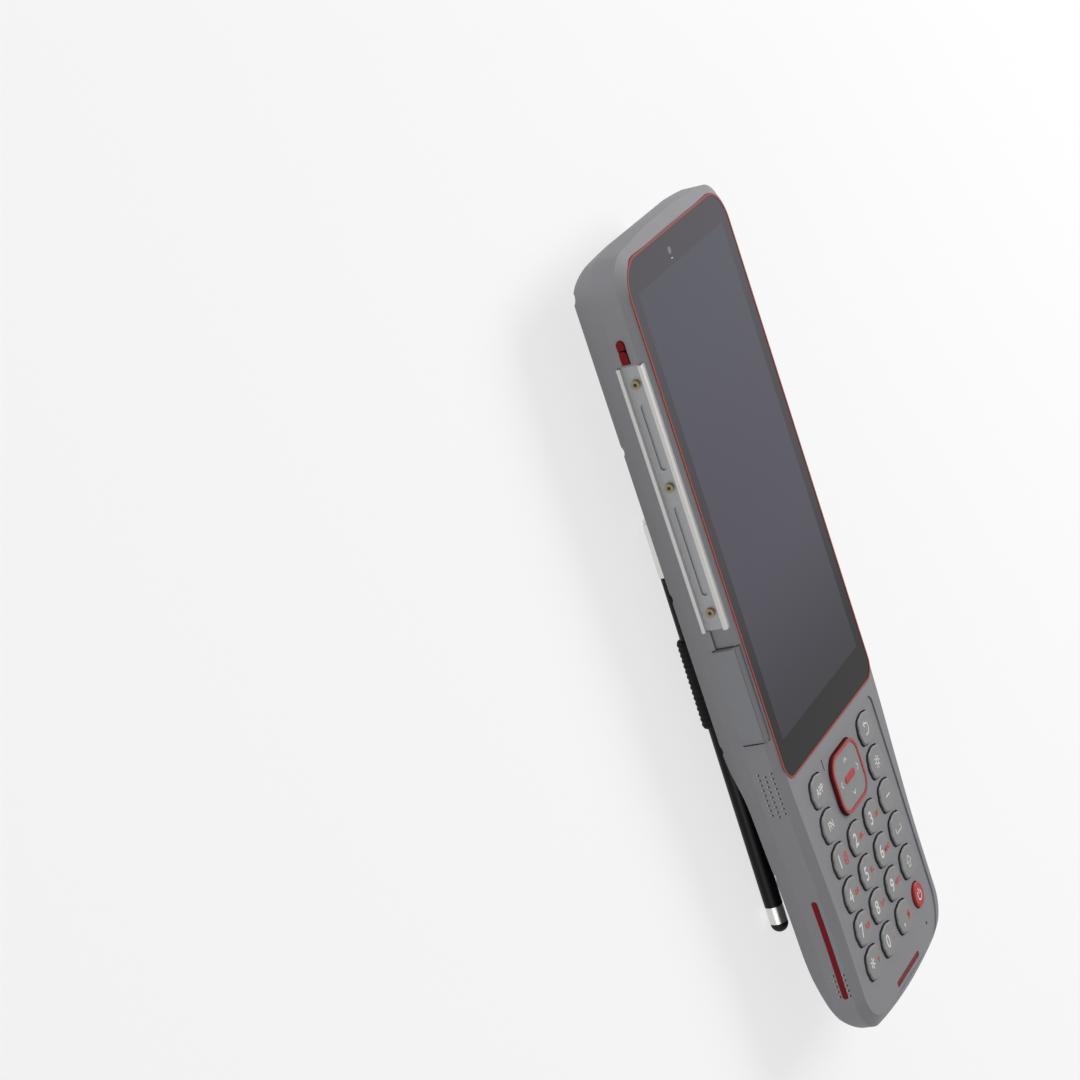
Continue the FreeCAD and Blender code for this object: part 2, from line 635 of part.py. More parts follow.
def make_screen():
    ledge = deep(GLASS_THICK)
    glass = glass_block(0, ledge, FRONT_Z)
    trim = glass_block(TRIM_WIDTH, ledge, FRONT_Z + TRIM_PROUD)
    trim = trim.cut(glass_block(FIT_GAP, ledge - 1, FRONT_Z + 1))
    panel = round_block(0, up(DISPLAY_UP), DISPLAY_WIDTH, DISPLAY_LENGTH, DISPLAY_CORNER_R,
                        ledge - DISPLAY_THICK, ledge)
    camera = cylinder(CAMERA_X, up(CAMERA_UP), ledge - CAMERA_LENGTH, ledge, CAMERA_D / 2)
    return {"cover_glass": glass, "screen_trim": trim, "display_panel": panel, "front_camera": camera}


# ---- left side

def rail_z():
    return deep(RAIL_DEEP - RAIL_WIDTH / 2), deep(RAIL_DEEP + RAIL_WIDTH / 2)


def make_rail():
    top, bottom = rail_z()
    y0, y1 = up(RAIL_UP - RAIL_LENGTH / 2), up(RAIL_UP + RAIL_LENGTH / 2)
    seat = SIDE_X + RAIL_SEAT
    lip = SIDE_X - RAIL_PROUD
    floor = seat - RAIL_BASE
    rail = box(lip, seat, y0, y1, bottom, top)
    rail = rail.cut(box(lip - 1, floor, y0 - 1, y1 + 1, bottom + RAIL_FLANGE, top - RAIL_FLANGE))
    middle = deep(RAIL_DEEP)
    for slot_up, length in rail_slots():
        y = up(slot_up)
        radius = RAIL_SLOT_WIDTH / 2
        straight = length / 2 - radius
        bottom_x = floor + RAIL_SLOT_DEPTH
        slot = fuse(box(floor - 1, bottom_x, y - straight, y + straight, middle - radius, middle + radius),
                    cylinder_x(floor - 1, bottom_x, y - straight, middle, radius),
                    cylinder_x(floor - 1, bottom_x, y + straight, middle, radius))
        rail = rail.cut(slot)
    screws = []
    for screw_up in RAIL_SCREWS_UP:
        y = up(screw_up)
        rail = rail.cut(cylinder_x(floor - 1, seat + 1, y, middle, RAIL_SCREW_D / 2 + FIT_GAP))
        screws.append(fuse(cylinder_x(floor - RAIL_HEAD_THICK, floor, y, middle, RAIL_HEAD_D / 2),
                           cylinder_x(floor, seat + RAIL_SCREW_LENGTH, y, middle, RAIL_SCREW_D / 2)))
    return {"accessory_rail": rail, "rail_screws": Part.makeCompound(screws)}


def rail_cuts():
    top, bottom = rail_z()
    y0, y1 = up(RAIL_UP - RAIL_LENGTH / 2), up(RAIL_UP + RAIL_LENGTH / 2)
    seat = SIDE_X + RAIL_SEAT
    cuts = [box(SIDE_X - 5, seat, y0, y1, bottom, top)]
    for screw_up in RAIL_SCREWS_UP:
        cuts.append(cylinder_x(seat - 1, seat + RAIL_SCREW_LENGTH, up(screw_up), deep(RAIL_DEEP),
                               RAIL_SCREW_D / 2))
    return cuts


def side_key(span):
    # a small key through the side wall, held by a flange inside
    y0, y1 = up(span[0]), up(span[1])
    z = deep(SIDE_KEY_DEEP)
    radius = SIDE_KEY_WIDTH / 2
    inner = SIDE_X + SIDE_WALL
    outer = SIDE_X - SIDE_KEY_PROUD
    end = inner + RUN_GAP + SIDE_KEY_FLANGE_THICK
    stem = box(outer, end, y0, y1 - radius, z - radius, z + radius)
    nose = cylinder_x(outer, end, y1 - radius, z, radius)
    flange = box(inner + RUN_GAP, end, y0, y1, z - radius - SIDE_KEY_FLANGE, z + radius + SIDE_KEY_FLANGE)
    return fuse(stem, nose, flange)


def side_key_cuts():
    low = min(span[0] for span in SIDE_KEY_SPANS.values())
    high = max(span[1] for span in SIDE_KEY_SPANS.values())
    z = deep(SIDE_KEY_DEEP)
    radius = SIDE_KEY_WIDTH / 2 + SIDE_KEY_GAP
    top = up(high) + SIDE_KEY_GAP - radius
    x0, x1 = SIDE_X - 5, SIDE_X + SIDE_WALL + 1
    return [box(x0, x1, up(low) - SIDE_KEY_GAP, top, z - radius, z + radius),
            cylinder_x(x0, x1, top, z, radius)]


def cover_frame():
    # outer face, hinge axis and ends of the port cover
    outer = SIDE_X - COVER_PROUD
    pin_r = COVER_THICK / 2
    high = up(COVER_TOP_UP)
    return outer, outer + pin_r, high - COVER_LENGTH + pin_r, high, pin_r


def make_cover():
    outer, pin_x, pin_y, high, pin_r = cover_frame()
    z = deep(COVER_DEEP)
    z0, z1 = z - COVER_WIDTH / 2, z + COVER_WIDTH / 2
    plate = box(outer, outer + COVER_THICK, pin_y, high, z0, z1)
    cover = fuse(plate, cylinder(pin_x, pin_y, z0, z1, pin_r))
    slot = HINGE_LUG_WIDTH / 2 + HINGE_SIDE_GAP
    lug_room = HINGE_LUG_R + 0.15
    web_room = HINGE_LUG_R * 0.6 + 0.15
    cover = cover.cut(cylinder(pin_x, pin_y, z - slot, z + slot, lug_room))
    cover = cover.cut(box(pin_x - web_room, pin_x + BIG, pin_y - BIG, pin_y + lug_room, z - slot, z + slot))
    pin_z0, pin_z1 = z0 + HINGE_PIN_INSET, z1 - HINGE_PIN_INSET
    cover = cover.cut(cylinder(pin_x, pin_y, pin_z0, pin_z1, HINGE_PIN_D / 2 + HINGE_BORE_GAP))
    pin = cylinder(pin_x, pin_y, pin_z0, pin_z1, HINGE_PIN_D / 2)
    socket_face = outer + COVER_THICK + COVER_FLOOR_GAP
    shell = box(socket_face, socket_face + USB_LENGTH, up(USB_UP) - USB_WIDTH / 2, up(USB_UP) + USB_WIDTH / 2,
                deep(USB_DEEP) - USB_HEIGHT / 2, deep(USB_DEEP) + USB_HEIGHT / 2)
    rounded = [edge for edge in shell.Edges if abs(edge.tangentAt(0).x) > 0.99]
    shell = shell.makeFillet(USB_HEIGHT / 2 - 0.05, rounded)
    hollow = box(socket_face - 1, socket_face + USB_LENGTH - 1, up(USB_UP) - USB_WIDTH / 2 + USB_WALL,
                 up(USB_UP) + USB_WIDTH / 2 - USB_WALL, deep(USB_DEEP) - USB_HEIGHT / 2 + USB_WALL,
                 deep(USB_DEEP) + USB_HEIGHT / 2 - USB_WALL)
    rounded = [edge for edge in hollow.Edges if abs(edge.tangentAt(0).x) > 0.99]
    hollow = hollow.makeFillet(USB_HEIGHT / 2 - USB_WALL - 0.05, rounded)
    tongue = box(socket_face + 1, socket_face + USB_LENGTH - 1, up(USB_UP) - USB_WIDTH / 2 + 1.2,
                 up(USB_UP) + USB_WIDTH / 2 - 1.2, deep(USB_DEEP) - 0.35, deep(USB_DEEP) + 0.35)
    return {"port_cover": cover, "cover_hinge_pin": pin, "usb_socket": fuse(shell.cut(hollow), tongue)}


def cover_cuts():
    outer, pin_x, pin_y, high, pin_r = cover_frame()
    z = deep(COVER_DEEP)
    z0, z1 = z - COVER_WIDTH / 2 - COVER_GAP, z + COVER_WIDTH / 2 + COVER_GAP
    floor = outer + COVER_THICK + COVER_FLOOR_GAP
    low = pin_y - pin_r - COVER_GAP
    recess = box(SIDE_X - 5, floor, low, high + COVER_GAP, z0, z1)
    lug = HINGE_LUG_WIDTH / 2
    keep = fuse(cylinder(pin_x, pin_y, z - lug, z + lug, HINGE_LUG_R),
                box(pin_x, floor + 1, pin_y - HINGE_LUG_R * 0.6, pin_y + HINGE_LUG_R * 0.6, z - lug, z + lug))
    keep = keep.cut(cylinder(pin_x, pin_y, z - BIG, z + BIG, HINGE_PIN_D / 2 + PIN_SEAT_GAP))
    y = up(USB_UP)
    socket = box(floor - 1, SIDE_X + SIDE_WALL + 1, y - USB_WIDTH / 2 - FIT_GAP, y + USB_WIDTH / 2 + FIT_GAP,
                 deep(USB_DEEP) - USB_HEIGHT / 2 - FIT_GAP, deep(USB_DEEP) + USB_HEIGHT / 2 + FIT_GAP)
    rounded = [edge for edge in socket.Edges if abs(edge.tangentAt(0).x) > 0.99]
    socket = socket.makeFillet(USB_HEIGHT / 2 - 0.05, rounded)
    notch_low = high + COVER_GAP
    notch_high = up(RAIL_UP - RAIL_LENGTH / 2)
    notch = box(SIDE_X - 5, SIDE_X + NOTCH_DEPTH, notch_low - 0.5, notch_high, z - NOTCH_WIDTH / 2,
                z + NOTCH_WIDTH / 2)
    return [recess.cut(keep), socket, notch]


def make_stripe():
    # the inlay follows the drawn-in side, so it is cut from the housing's own form
    skin = outline_prism(-STRIPE_PROUD, 0, FRONT_Z + 1).cut(outline_prism(STRIPE_SEAT, -1, FRONT_Z + 2))
    seat = outline_prism(-5, 0, FRONT_Z + 1).cut(outline_prism(STRIPE_SEAT, -1, FRONT_Z + 2))
    y0, y1 = up(STRIPE_UP[0]), up(STRIPE_UP[1])
    z = deep(STRIPE_DEEP)
    x0, x1 = SIDE_X - 5, -GRIP_WIDTH / 4

    def capsule(grow):
        radius = STRIPE_WIDTH / 2 + grow
        low, high = y0 + STRIPE_WIDTH / 2, y1 - STRIPE_WIDTH / 2
        return fuse(box(x0, x1, low, high, z - radius, z + radius), cylinder_x(x0, x1, low, z, radius),
                    cylinder_x(x0, x1, high, z, radius))

    return skin.common(capsule(-FIT_GAP)), seat.common(capsule(0))


# ---- keypad end, fasteners and seal

def bar_block(grow, z0, z1):
    return round_block(0, up(BAR_UP), BAR_LENGTH + 2 * grow, BAR_WIDTH + 2 * grow,
                       BAR_WIDTH / 2 + grow - 0.01, z0, z1)


def back_edge(y):
    # how far the edge of the back face lies inside the outline
    depth = BATTERY_DEPTH if y > up(STEP_TOP_UP - STEP_LENGTH / 2) else GRIP_DEPTH
    share = (depth - SHOULDER_DEPTH) / (BATTERY_DEPTH - SHOULDER_DEPTH)
    return SHOULDER_INSET + share * (BACK_INSET - SHOULDER_INSET)


def screw_places():
    places = []
    for distance in SCREWS_UP:
        y = up(distance)
        inset = back_edge(y) + SCREW_POCKET_D / 2 - SCREW_EDGE_CUT
        for side in (-1, 1):
            places.append((side * (half_width(y) - inset), y))
    return places


def screw_bosses(z1, radius):
    return [cylinder(x, y, 0, z1, radius + SCREW_BOSS_WALL) for x, y in screw_places()]


def seam_end():
    # Y where the swept back of the keypad end passes through the seam
    rise = GRIP_DEPTH - TIP_DEPTH
    sweep = math.sqrt(TIP_SWEEP_R ** 2 - (TIP_SWEEP_R - rise) ** 2)
    seam_rise = GRIP_DEPTH - SEAM_DEPTH
    return sweep - TOP_Y - math.sqrt(TIP_SWEEP_R ** 2 - (TIP_SWEEP_R - seam_rise) ** 2)


def seal_ring(grow):
    end = seam_end() + SEAL_END_GAP
    z0, z1 = SEAM_Z, SEAM_Z + SEAL_HEIGHT
    outer = outline_prism(SEAL_INSET - grow, z0, z1)
    outer = outer.common(box(-BIG, BIG, end - grow, BIG, z0, z1))
    inner = outline_prism(SEAL_INSET + SEAL_WIDTH + grow, z0 - 1, z1 + 1)
    inner = inner.common(box(-BIG, BIG, end + SEAL_WIDTH + grow, BIG, z0 - 1, z1 + 1))
    return outer.cut(inner)


# ---- housings

def make_front_housing(body, stripe_seat):
    shell = body.common(box(-BIG, BIG, -BIG, BIG, SEAM_Z, BIG))
    cuts = [glass_block(TRIM_WIDTH + FIT_GAP, deep(GLASS_THICK), BIG)]
    cuts.append(round_block(0, up(DISPLAY_UP), DISPLAY_WIDTH + 2 * WINDOW_GAP, DISPLAY_LENGTH + 2 * WINDOW_GAP,
                            DISPLAY_CORNER_R, SEAM_Z, FRONT_Z))
    cuts.append(cylinder(CAMERA_X, up(CAMERA_UP), SEAM_Z, FRONT_Z, CAMERA_D / 2 + WINDOW_GAP))
    panel_top = SCREEN_Y - GLASS_LENGTH / 2 - PANEL_TOP_GAP
    panel_bottom = -TOP_Y + PANEL_BOTTOM_GAP
    panel = prism(round_rect(0, (panel_top + panel_bottom) / 2, 2 * PANEL_HALF_WIDTH, panel_top - panel_bottom,
                             KEY_CORNER_R, PANEL_CORNER_R, PANEL_Z), BIG)
    cuts.append(panel)
    cavity = outline_prism(SIDE_WALL, SEAM_Z - 1, CAVITY_Z).common(box(-BIG, BIG, CAVITY_END, BIG, 0, BIG))
    chamber = outline_prism(SIDE_WALL, CHAMBER_Z, CAVITY_Z).common(box(-BIG, BIG, CHAMBER_END, BIG, 0, BIG))
    bosses = screw_bosses(SEAM_Z + SCREW_REACH + SCREW_BOSS_WALL, SCREW_D / 2)
    cuts += [cavity.cut(bosses), chamber.cut(bosses)]
    cuts += key_holes()
    cuts += rail_cuts() + side_key_cuts() + cover_cuts() + [stripe_seat]
    cuts.append(bar_block(FIT_GAP, PANEL_Z - BAR_SEAT, BIG))
    cuts.append(cylinder(MIC_X, up(MIC_UP), PANEL_Z - MIC_DEPTH, BIG, MIC_D / 2))
    cuts.append(box(LED_X - LED_WIDTH / 2, LED_X + LED_WIDTH / 2, up(LED_UP) - LED_LENGTH / 2,
                    up(LED_UP) + LED_LENGTH / 2, PANEL_Z - PANEL_DEPTH, BIG))
    cuts.append(seal_ring(FIT_GAP))
    for x, y in screw_places():
        cuts.append(cylinder(x, y, SEAM_Z - 1, SEAM_Z + SCREW_REACH, SCREW_D / 2))
    shell = shell.cut(cuts)
    ledges = []
    wall = SCREEN_WIDTH / 2 - SIDE_WALL
    for side in (-1, 1):
        for distance in LEDGES_UP:
            x0, x1 = sorted((side * (wall + 1), side * (wall - LEDGE_REACH - KEY_CORNER_R)))
            y = up(distance)
            ledges.append(box(x0, x1, y - LEDGE_WIDTH / 2, y + LEDGE_WIDTH / 2, BOARD_Z, BOARD_Z + LEDGE_THICK))
    shell = fuse(shell, *ledges)
    top = BOARD_Z - BOARD_THICK + SMALL_SCREW_LENGTH
    pilots = [cylinder(x, y, BOARD_Z - 1, top, SMALL_SCREW_D / 2) for x, y in board_screw_places()]
    return shell.cut(pilots)


def make_rear_housing(body):
    shell = body.common(box(-BIG, BIG, -BIG, BIG, -BIG, SEAM_Z))
    half = BATTERY_LENGTH / 2 + KEY_GAP
    y = up(BATTERY_UP)
    bay = outline_prism(REAR_SIDE_WALL, BATTERY_FLOOR_Z, SEAM_Z + 1)
    bay = bay.common(box(-BIG, BIG, y - half, up(LENS_UP) + BEZEL_D, 0, BIG))
    cuts = [bay.cut(screw_bosses(BIG, SCREW_POCKET_D / 2))]
    for x, place_y in screw_places():
        cuts.append(cylinder(x, place_y, 0, SEAM_Z + 1, SCREW_D / 2 + FIT_GAP))
        cuts.append(cylinder(x, place_y, 0, deep(SCREW_POCKET_FLOOR), SCREW_POCKET_D / 2))
    back = deep(BATTERY_DEPTH)
    cuts.append(cylinder(0, up(LENS_UP), back - 1, back + BEZEL_SEAT, BEZEL_D / 2 + FIT_GAP))
    cuts.append(cylinder(0, up(LENS_UP), back - 1, SEAM_Z, CAMERA_MODULE_D / 2 + FIT_GAP))
    cuts.append(cylinder(FLASH_X, up(LENS_UP), back - 1, back + FLASH_THICK, FLASH_D / 2 + FIT_GAP))
    for name in ANCHOR_UPS:
        for x, place_y, face in anchor_screw_places(name):
            top = face - ANCHOR_BASE + SMALL_HEAD_THICK + SMALL_SCREW_LENGTH
            cuts.append(cylinder(x, place_y, face - 1, top, SMALL_SCREW_D / 2))
    return shell.cut(cuts)


def make_housing_screws():
    head_z = deep(SCREW_POCKET_FLOOR)
    screws = []
    for x, y in screw_places():
        head = cylinder(x, y, head_z - SCREW_HEAD_THICK, head_z, SCREW_HEAD_D / 2)
        screws.append(fuse(head, cylinder(x, y, head_z, SEAM_Z + SCREW_REACH, SCREW_D / 2)))
    return Part.makeCompound(screws)


# ---- inside

def board_screw_places():
    x = SCREEN_WIDTH / 2 - SIDE_WALL - LEDGE_REACH - KEY_CORNER_R / 2
    return [(side * x, up(distance)) for side in (-1, 1) for distance in LEDGES_UP]


def make_inside():
    nav_room = NAV_PLUNGER_D / 2 + KEY_GAP
    keypad_top = FIRST_ROW_Y + KEY_HEIGHT / 2 + KEY_FLANGE
    keypad_bottom = CHAMBER_END + FIT_GAP
    middle = (keypad_top + keypad_bottom) / 2
    membrane = round_block(0, middle, MEMBRANE_WIDTH, keypad_top - keypad_bottom, KEY_CORNER_R,
                           MEMBRANE_Z - MEMBRANE_THICK, MEMBRANE_Z)
    membrane = membrane.cut(cylinder(0, NAV_Y, 0, BIG, nav_room))
    board_top = up(BOARD_TOP_UP)
    middle = (board_top + keypad_bottom) / 2
    board = round_block(0, middle, BOARD_WIDTH, board_top - keypad_bottom, KEY_CORNER_R,
                        BOARD_Z - BOARD_THICK, BOARD_Z)
    socket_end = SIDE_X - COVER_PROUD + COVER_THICK + COVER_FLOOR_GAP + USB_LENGTH
    board = board.cut(box(-BIG, socket_end + FIT_GAP, up(USB_UP) - USB_WIDTH / 2 - FIT_GAP,
                          up(USB_UP) + USB_WIDTH / 2 + FIT_GAP, 0, BIG))
    screws = []
    for x, y in board_screw_places():
        board = board.cut(cylinder(x, y, 0, BIG, SMALL_SCREW_D / 2 + FIT_GAP))
        screws.append(small_screw(x, y, BOARD_Z - BOARD_THICK - SMALL_HEAD_THICK))
    battery = round_block(0, up(BATTERY_UP), BATTERY_WIDTH, BATTERY_LENGTH, BATTERY_CORNER_R,
                          BATTERY_FLOOR_Z, BATTERY_FLOOR_Z + BATTERY_THICK)
    width, length, thick = SPEAKER_SIZE
    speaker = round_block(SPEAKER_X, up(SPEAKER_UP), width, length, 2.0, SEAM_Z, SEAM_Z + thick)
    return {"keypad_membrane": membrane, "main_board": board, "battery_pack": battery,
            "speaker": speaker}, screws


# ---- back: camera, strap and stylus

def make_rear_camera():
    back = deep(BATTERY_DEPTH)
    y = up(LENS_UP)
    lens_top = back + LENS_THICK
    bezel = cylinder(0, y, back - BEZEL_PROUD, back + BEZEL_SEAT, BEZEL_D / 2)
    bezel = bezel.cut(cylinder(0, y, back - 1, back + BEZEL_SEAT + 1, LENS_D / 2 + FIT_GAP))
    camera = fuse(cylinder(0, y, back, lens_top, LENS_D / 2),
                  cylinder(0, y, lens_top, lens_top + CAMERA_MODULE_LENGTH, CAMERA_MODULE_D / 2))
    flash = cylinder(FLASH_X, y, back, back + FLASH_THICK, FLASH_D / 2)
    return {"rear_camera_bezel": bezel, "rear_camera": camera, "rear_flash": flash}


def anchor_face(name):
    return deep(BATTERY_DEPTH if name == "upper" else GRIP_DEPTH)


def anchor_screw_places(name):
    y = up(ANCHOR_UPS[name])
    x = WEB_WIDTH / 4
    return [(-x, y, anchor_face(name)), (x, y, anchor_face(name))]


def small_screw(x, y, low):
    # head down, shank upwards, with the head's free face at low
    return fuse(cylinder(x, y, low, low + SMALL_HEAD_THICK, SMALL_HEAD_D / 2),
                cylinder(x, y, low, low + SMALL_HEAD_THICK + SMALL_SCREW_LENGTH, SMALL_SCREW_D / 2))


def make_anchor(name):
    y = up(ANCHOR_UPS[name])
    face = anchor_face(name)
    bar_z = face - BAR_DROP
    half = ANCHOR_WIDTH / 2
    base = round_block(0, y, ANCHOR_WIDTH, ANCHOR_LENGTH, 2.0, face - ANCHOR_BASE, face)
    ears = []
    for x0 in (-half, half - ANCHOR_EAR):
        ears.append(cylinder_x(x0, x0 + ANCHOR_EAR, y, bar_z, ANCHOR_EAR_R))
        ears.append(box(x0, x0 + ANCHOR_EAR, y - ANCHOR_EAR_R, y + ANCHOR_EAR_R, bar_z, face - ANCHOR_BASE))
    bar = cylinder_x(-half, half, y, bar_z, BAR_R)
    anchor = fuse(base, bar, *ears)
    low = face - ANCHOR_BASE
    screws = []
    for x, place_y, _ in anchor_screw_places(name):
        anchor = anchor.cut(cylinder(x, place_y, low - 1, face + 1, SMALL_SCREW_D / 2 + FIT_GAP))
        anchor = anchor.cut(cylinder(x, place_y, low - 1, low + SMALL_HEAD_THICK, SMALL_HEAD_D / 2 + FIT_GAP))
        screws.append(small_screw(x, place_y, low))
    return anchor, screws


def make_webbing(name, pad_y, side):
    # a flat strap from the pad's end to an eye round the anchor bar; side is +1 towards the screen end
    bar_y = up(ANCHOR_UPS[name])
    bar_z = anchor_face(name) - BAR_DROP
    inner = BAR_R + BAR_FIT
    outer = inner + WEB_THICK
    half = WEB_WIDTH / 2
    low = PAD_THICK / 2 - WEB_THICK / 2
    high = low + WEB_THICK
    span = side * (bar_y - pad_y)
    drop = bar_z - low
    reach = math.hypot(span, drop)
    lean = math.atan2(drop, span) - math.asin(outer / reach)
    touch = (bar_y + side * outer * math.sin(lean), bar_z - outer * math.cos(lean))
    inward = (touch[0] - side * WEB_THICK * math.sin(lean), touch[1] + WEB_THICK * math.cos(lean))
    points = [(pad_y, low), touch, inward, (pad_y, high)]
    corners = [Vector(-half, y, z) for y, z in points]
    strip = Part.Face(Part.makePolygon(corners + corners[:1])).extrude(Vector(WEB_WIDTH, 0, 0))
    eye = cylinder_x(-half, half, bar_y, bar_z, outer)
    return fuse(strip, eye).cut(cylinder_x(-half - 1, half + 1, bar_y, bar_z, inner))


def make_strap():
    y0, y1 = up(PAD_BOTTOM_UP), up(PAD_TOP_UP)
    pad = round_block(0, (y0 + y1) / 2, PAD_WIDTH, y1 - y0, PAD_CORNER_R, 0, PAD_THICK)
    upper, upper_screws = make_anchor("upper")
    lower, lower_screws = make_anchor("lower")
    return {"hand_strap_pad": pad, "strap_webbing_upper": make_webbing("upper", y1, 1),
            "strap_webbing_lower": make_webbing("lower", y0, -1), "strap_anchor_upper": upper,
            "strap_anchor_lower": lower}, upper_screws + lower_screws


def along_stylus(shape):
    # from a frame along +Y, with its origin at the stylus top, to the stylus's own lean
    tilt = math.degrees(math.asin((STYLUS_TIP_DEEP - STYLUS_TOP_DEEP) / STYLUS_LENGTH))
    shape = shape.copy()
    shape.rotate(Vector(0, 0, 0), Vector(1, 0, 0), tilt)
    shape.translate(Vector(STYLUS_X, up(STYLUS_TOP_UP), deep(STYLUS_TOP_DEEP)))
    return shape


def turned(profile):
    # solid of revolution about Y from (radius, y) points
    corners = [Vector(radius, y, 0) for radius, y in profile]
    face = Part.Face(Part.makePolygon(corners + corners[:1]))
    return face.revolve(Vector(0, 0, 0), Vector(0, 1, 0), 360)


def make_stylus():
    radius = STYLUS_R
    barrel_end = TIP_LENGTH + COLLAR_LENGTH - STYLUS_LENGTH
    collar_end = TIP_LENGTH - STYLUS_LENGTH
    cap = turned([(0, 0), (radius - 0.6, 0), (radius, -0.6), (radius, -CAP_LENGTH), (0, -CAP_LENGTH)])
    barrel = turned([(0, -CAP_LENGTH), (radius, -CAP_LENGTH), (radius, barrel_end), (0, barrel_end)])
    collar = turned([(0, barrel_end), (radius, barrel_end), (radius, collar_end), (0, collar_end)])
    tip_r = radius - 0.1
    centre_y = collar_end - TIP_LENGTH + tip_r
    dome = Part.makeSphere(tip_r, Vector(0, centre_y, 0))
    dome = dome.common(box(-BIG, BIG, -BIG, centre_y, -BIG, BIG))
    neck = Part.makeCylinder(tip_r, collar_end - centre_y, Vector(0, centre_y, 0), Vector(0, 1, 0))
    tip = fuse(dome, neck)
    inner, outer = radius + CLIP_LIFT, radius + CLIP_LIFT + CLIP_THICK
    half = CLIP_WIDTH / 2
    strip = box(-outer, -inner, -CLIP_LENGTH, -0.8, -half, half)
    root = box(-outer, -radius + 0.6, -2.2, -0.8, -half, half)
    foot = box(-outer, -radius - FIT_GAP, -CLIP_LENGTH, -CLIP_LENGTH + 1.2, -half, half)
    clip = fuse(strip, root, foot).cut(Part.makeCylinder(radius, BIG, Vector(0, STYLUS_LENGTH, 0), Vector(0, -1, 0)))
    pieces = {"stylus_cap": cap, "stylus_barrel": barrel, "stylus_collar": collar, "stylus_tip": tip,
              "stylus_clip": clip}
    return {name: along_stylus(shape) for name, shape in pieces.items()}


def make_stylus_loop():
    start = LOOP_TOP_UP - STYLUS_TOP_UP
    bore = STYLUS_R + LOOP_FIT
    outer = bore + LOOP_WALL
    down = Vector(0, -1, 0)
    tube = along_stylus(Part.makeCylinder(outer, LOOP_LENGTH, Vector(0, start, 0), down))
    hole = along_stylus(Part.makeCylinder(bore, LOOP_LENGTH + 2, Vector(0, start + 1, 0), down))
    y1 = up(LOOP_TOP_UP)
    tab = box(STYLUS_X, STYLUS_X + outer + TAB_REACH, y1 - LOOP_LENGTH + 0.5, y1 - 0.5,
              PAD_THICK, PAD_THICK + TAB_THICK)
    return {"stylus_loop": fuse(tube, tab).cut(hole)}


def main():
    body = housing_body()
    stripe, stripe_seat = make_stripe()
    pieces = {"front_housing": make_front_housing(body, stripe_seat), "rear_housing": make_rear_housing(body),
              "side_stripe": stripe, "housing_seal": seal_ring(0), "housing_screws": make_housing_screws(),
              "front_bar": bar_block(0, PANEL_Z - BAR_SEAT, PANEL_Z - BAR_SUNK)}
    pieces.update(make_screen())
    pieces.update(make_keys())
    pieces.update(make_nav())
    pieces.update(make_rail())
    pieces.update({name: side_key(span) for name, span in SIDE_KEY_SPANS.items()})
    pieces.update(make_cover())
    inside, board_screws = make_inside()
    strap, anchor_screws = make_strap()
    pieces.update(inside)
    pieces.update(strap)
    pieces["small_screws"] = Part.makeCompound(board_screws + anchor_screws)
    pieces.update(make_rear_camera())
    pieces.update(make_stylus())
    pieces.update(make_stylus_loop())
    os.makedirs("parts", exist_ok=True)
    for name, shape in pieces.items():
        shape.exportStep("parts/" + name + ".step")
    print(len(pieces), "pieces")


main()
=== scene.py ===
import json
import math

import bmesh
import bpy
from mathutils import Matrix, Vector, noise
from mathutils.bvhtree import BVHTree


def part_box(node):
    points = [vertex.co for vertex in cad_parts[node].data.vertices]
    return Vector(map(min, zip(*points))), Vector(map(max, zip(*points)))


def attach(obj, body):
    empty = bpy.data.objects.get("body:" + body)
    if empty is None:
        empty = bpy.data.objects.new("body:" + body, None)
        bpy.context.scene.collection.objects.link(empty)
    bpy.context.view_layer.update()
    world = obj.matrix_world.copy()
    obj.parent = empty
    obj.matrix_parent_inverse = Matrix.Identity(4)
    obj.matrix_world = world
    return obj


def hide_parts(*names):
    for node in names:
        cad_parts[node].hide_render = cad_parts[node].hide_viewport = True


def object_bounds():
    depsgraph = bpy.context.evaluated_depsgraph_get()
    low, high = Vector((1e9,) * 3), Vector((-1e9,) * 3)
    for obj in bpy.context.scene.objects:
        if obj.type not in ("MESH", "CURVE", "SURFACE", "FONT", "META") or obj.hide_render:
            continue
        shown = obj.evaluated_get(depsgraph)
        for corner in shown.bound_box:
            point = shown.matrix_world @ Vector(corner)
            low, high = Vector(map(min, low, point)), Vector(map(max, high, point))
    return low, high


mm = 0.001
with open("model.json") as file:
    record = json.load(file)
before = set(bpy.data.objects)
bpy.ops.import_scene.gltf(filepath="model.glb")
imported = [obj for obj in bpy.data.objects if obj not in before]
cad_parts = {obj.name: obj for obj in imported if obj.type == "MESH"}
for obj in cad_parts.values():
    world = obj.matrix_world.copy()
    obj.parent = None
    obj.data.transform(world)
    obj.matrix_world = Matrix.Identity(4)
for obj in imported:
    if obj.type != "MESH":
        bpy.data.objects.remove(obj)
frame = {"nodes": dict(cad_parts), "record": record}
nodes = frame["nodes"]
bodies = frame["record"]["behaviour"]["bodies"]
bodyOf = {node: body for body, members in bodies.items() for node in members}
cadLow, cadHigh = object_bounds()
screenLow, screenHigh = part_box("cover_glass")
screenMiddle = (screenLow + screenHigh) / 2
print("frame loaded,", len(nodes), "nodes")

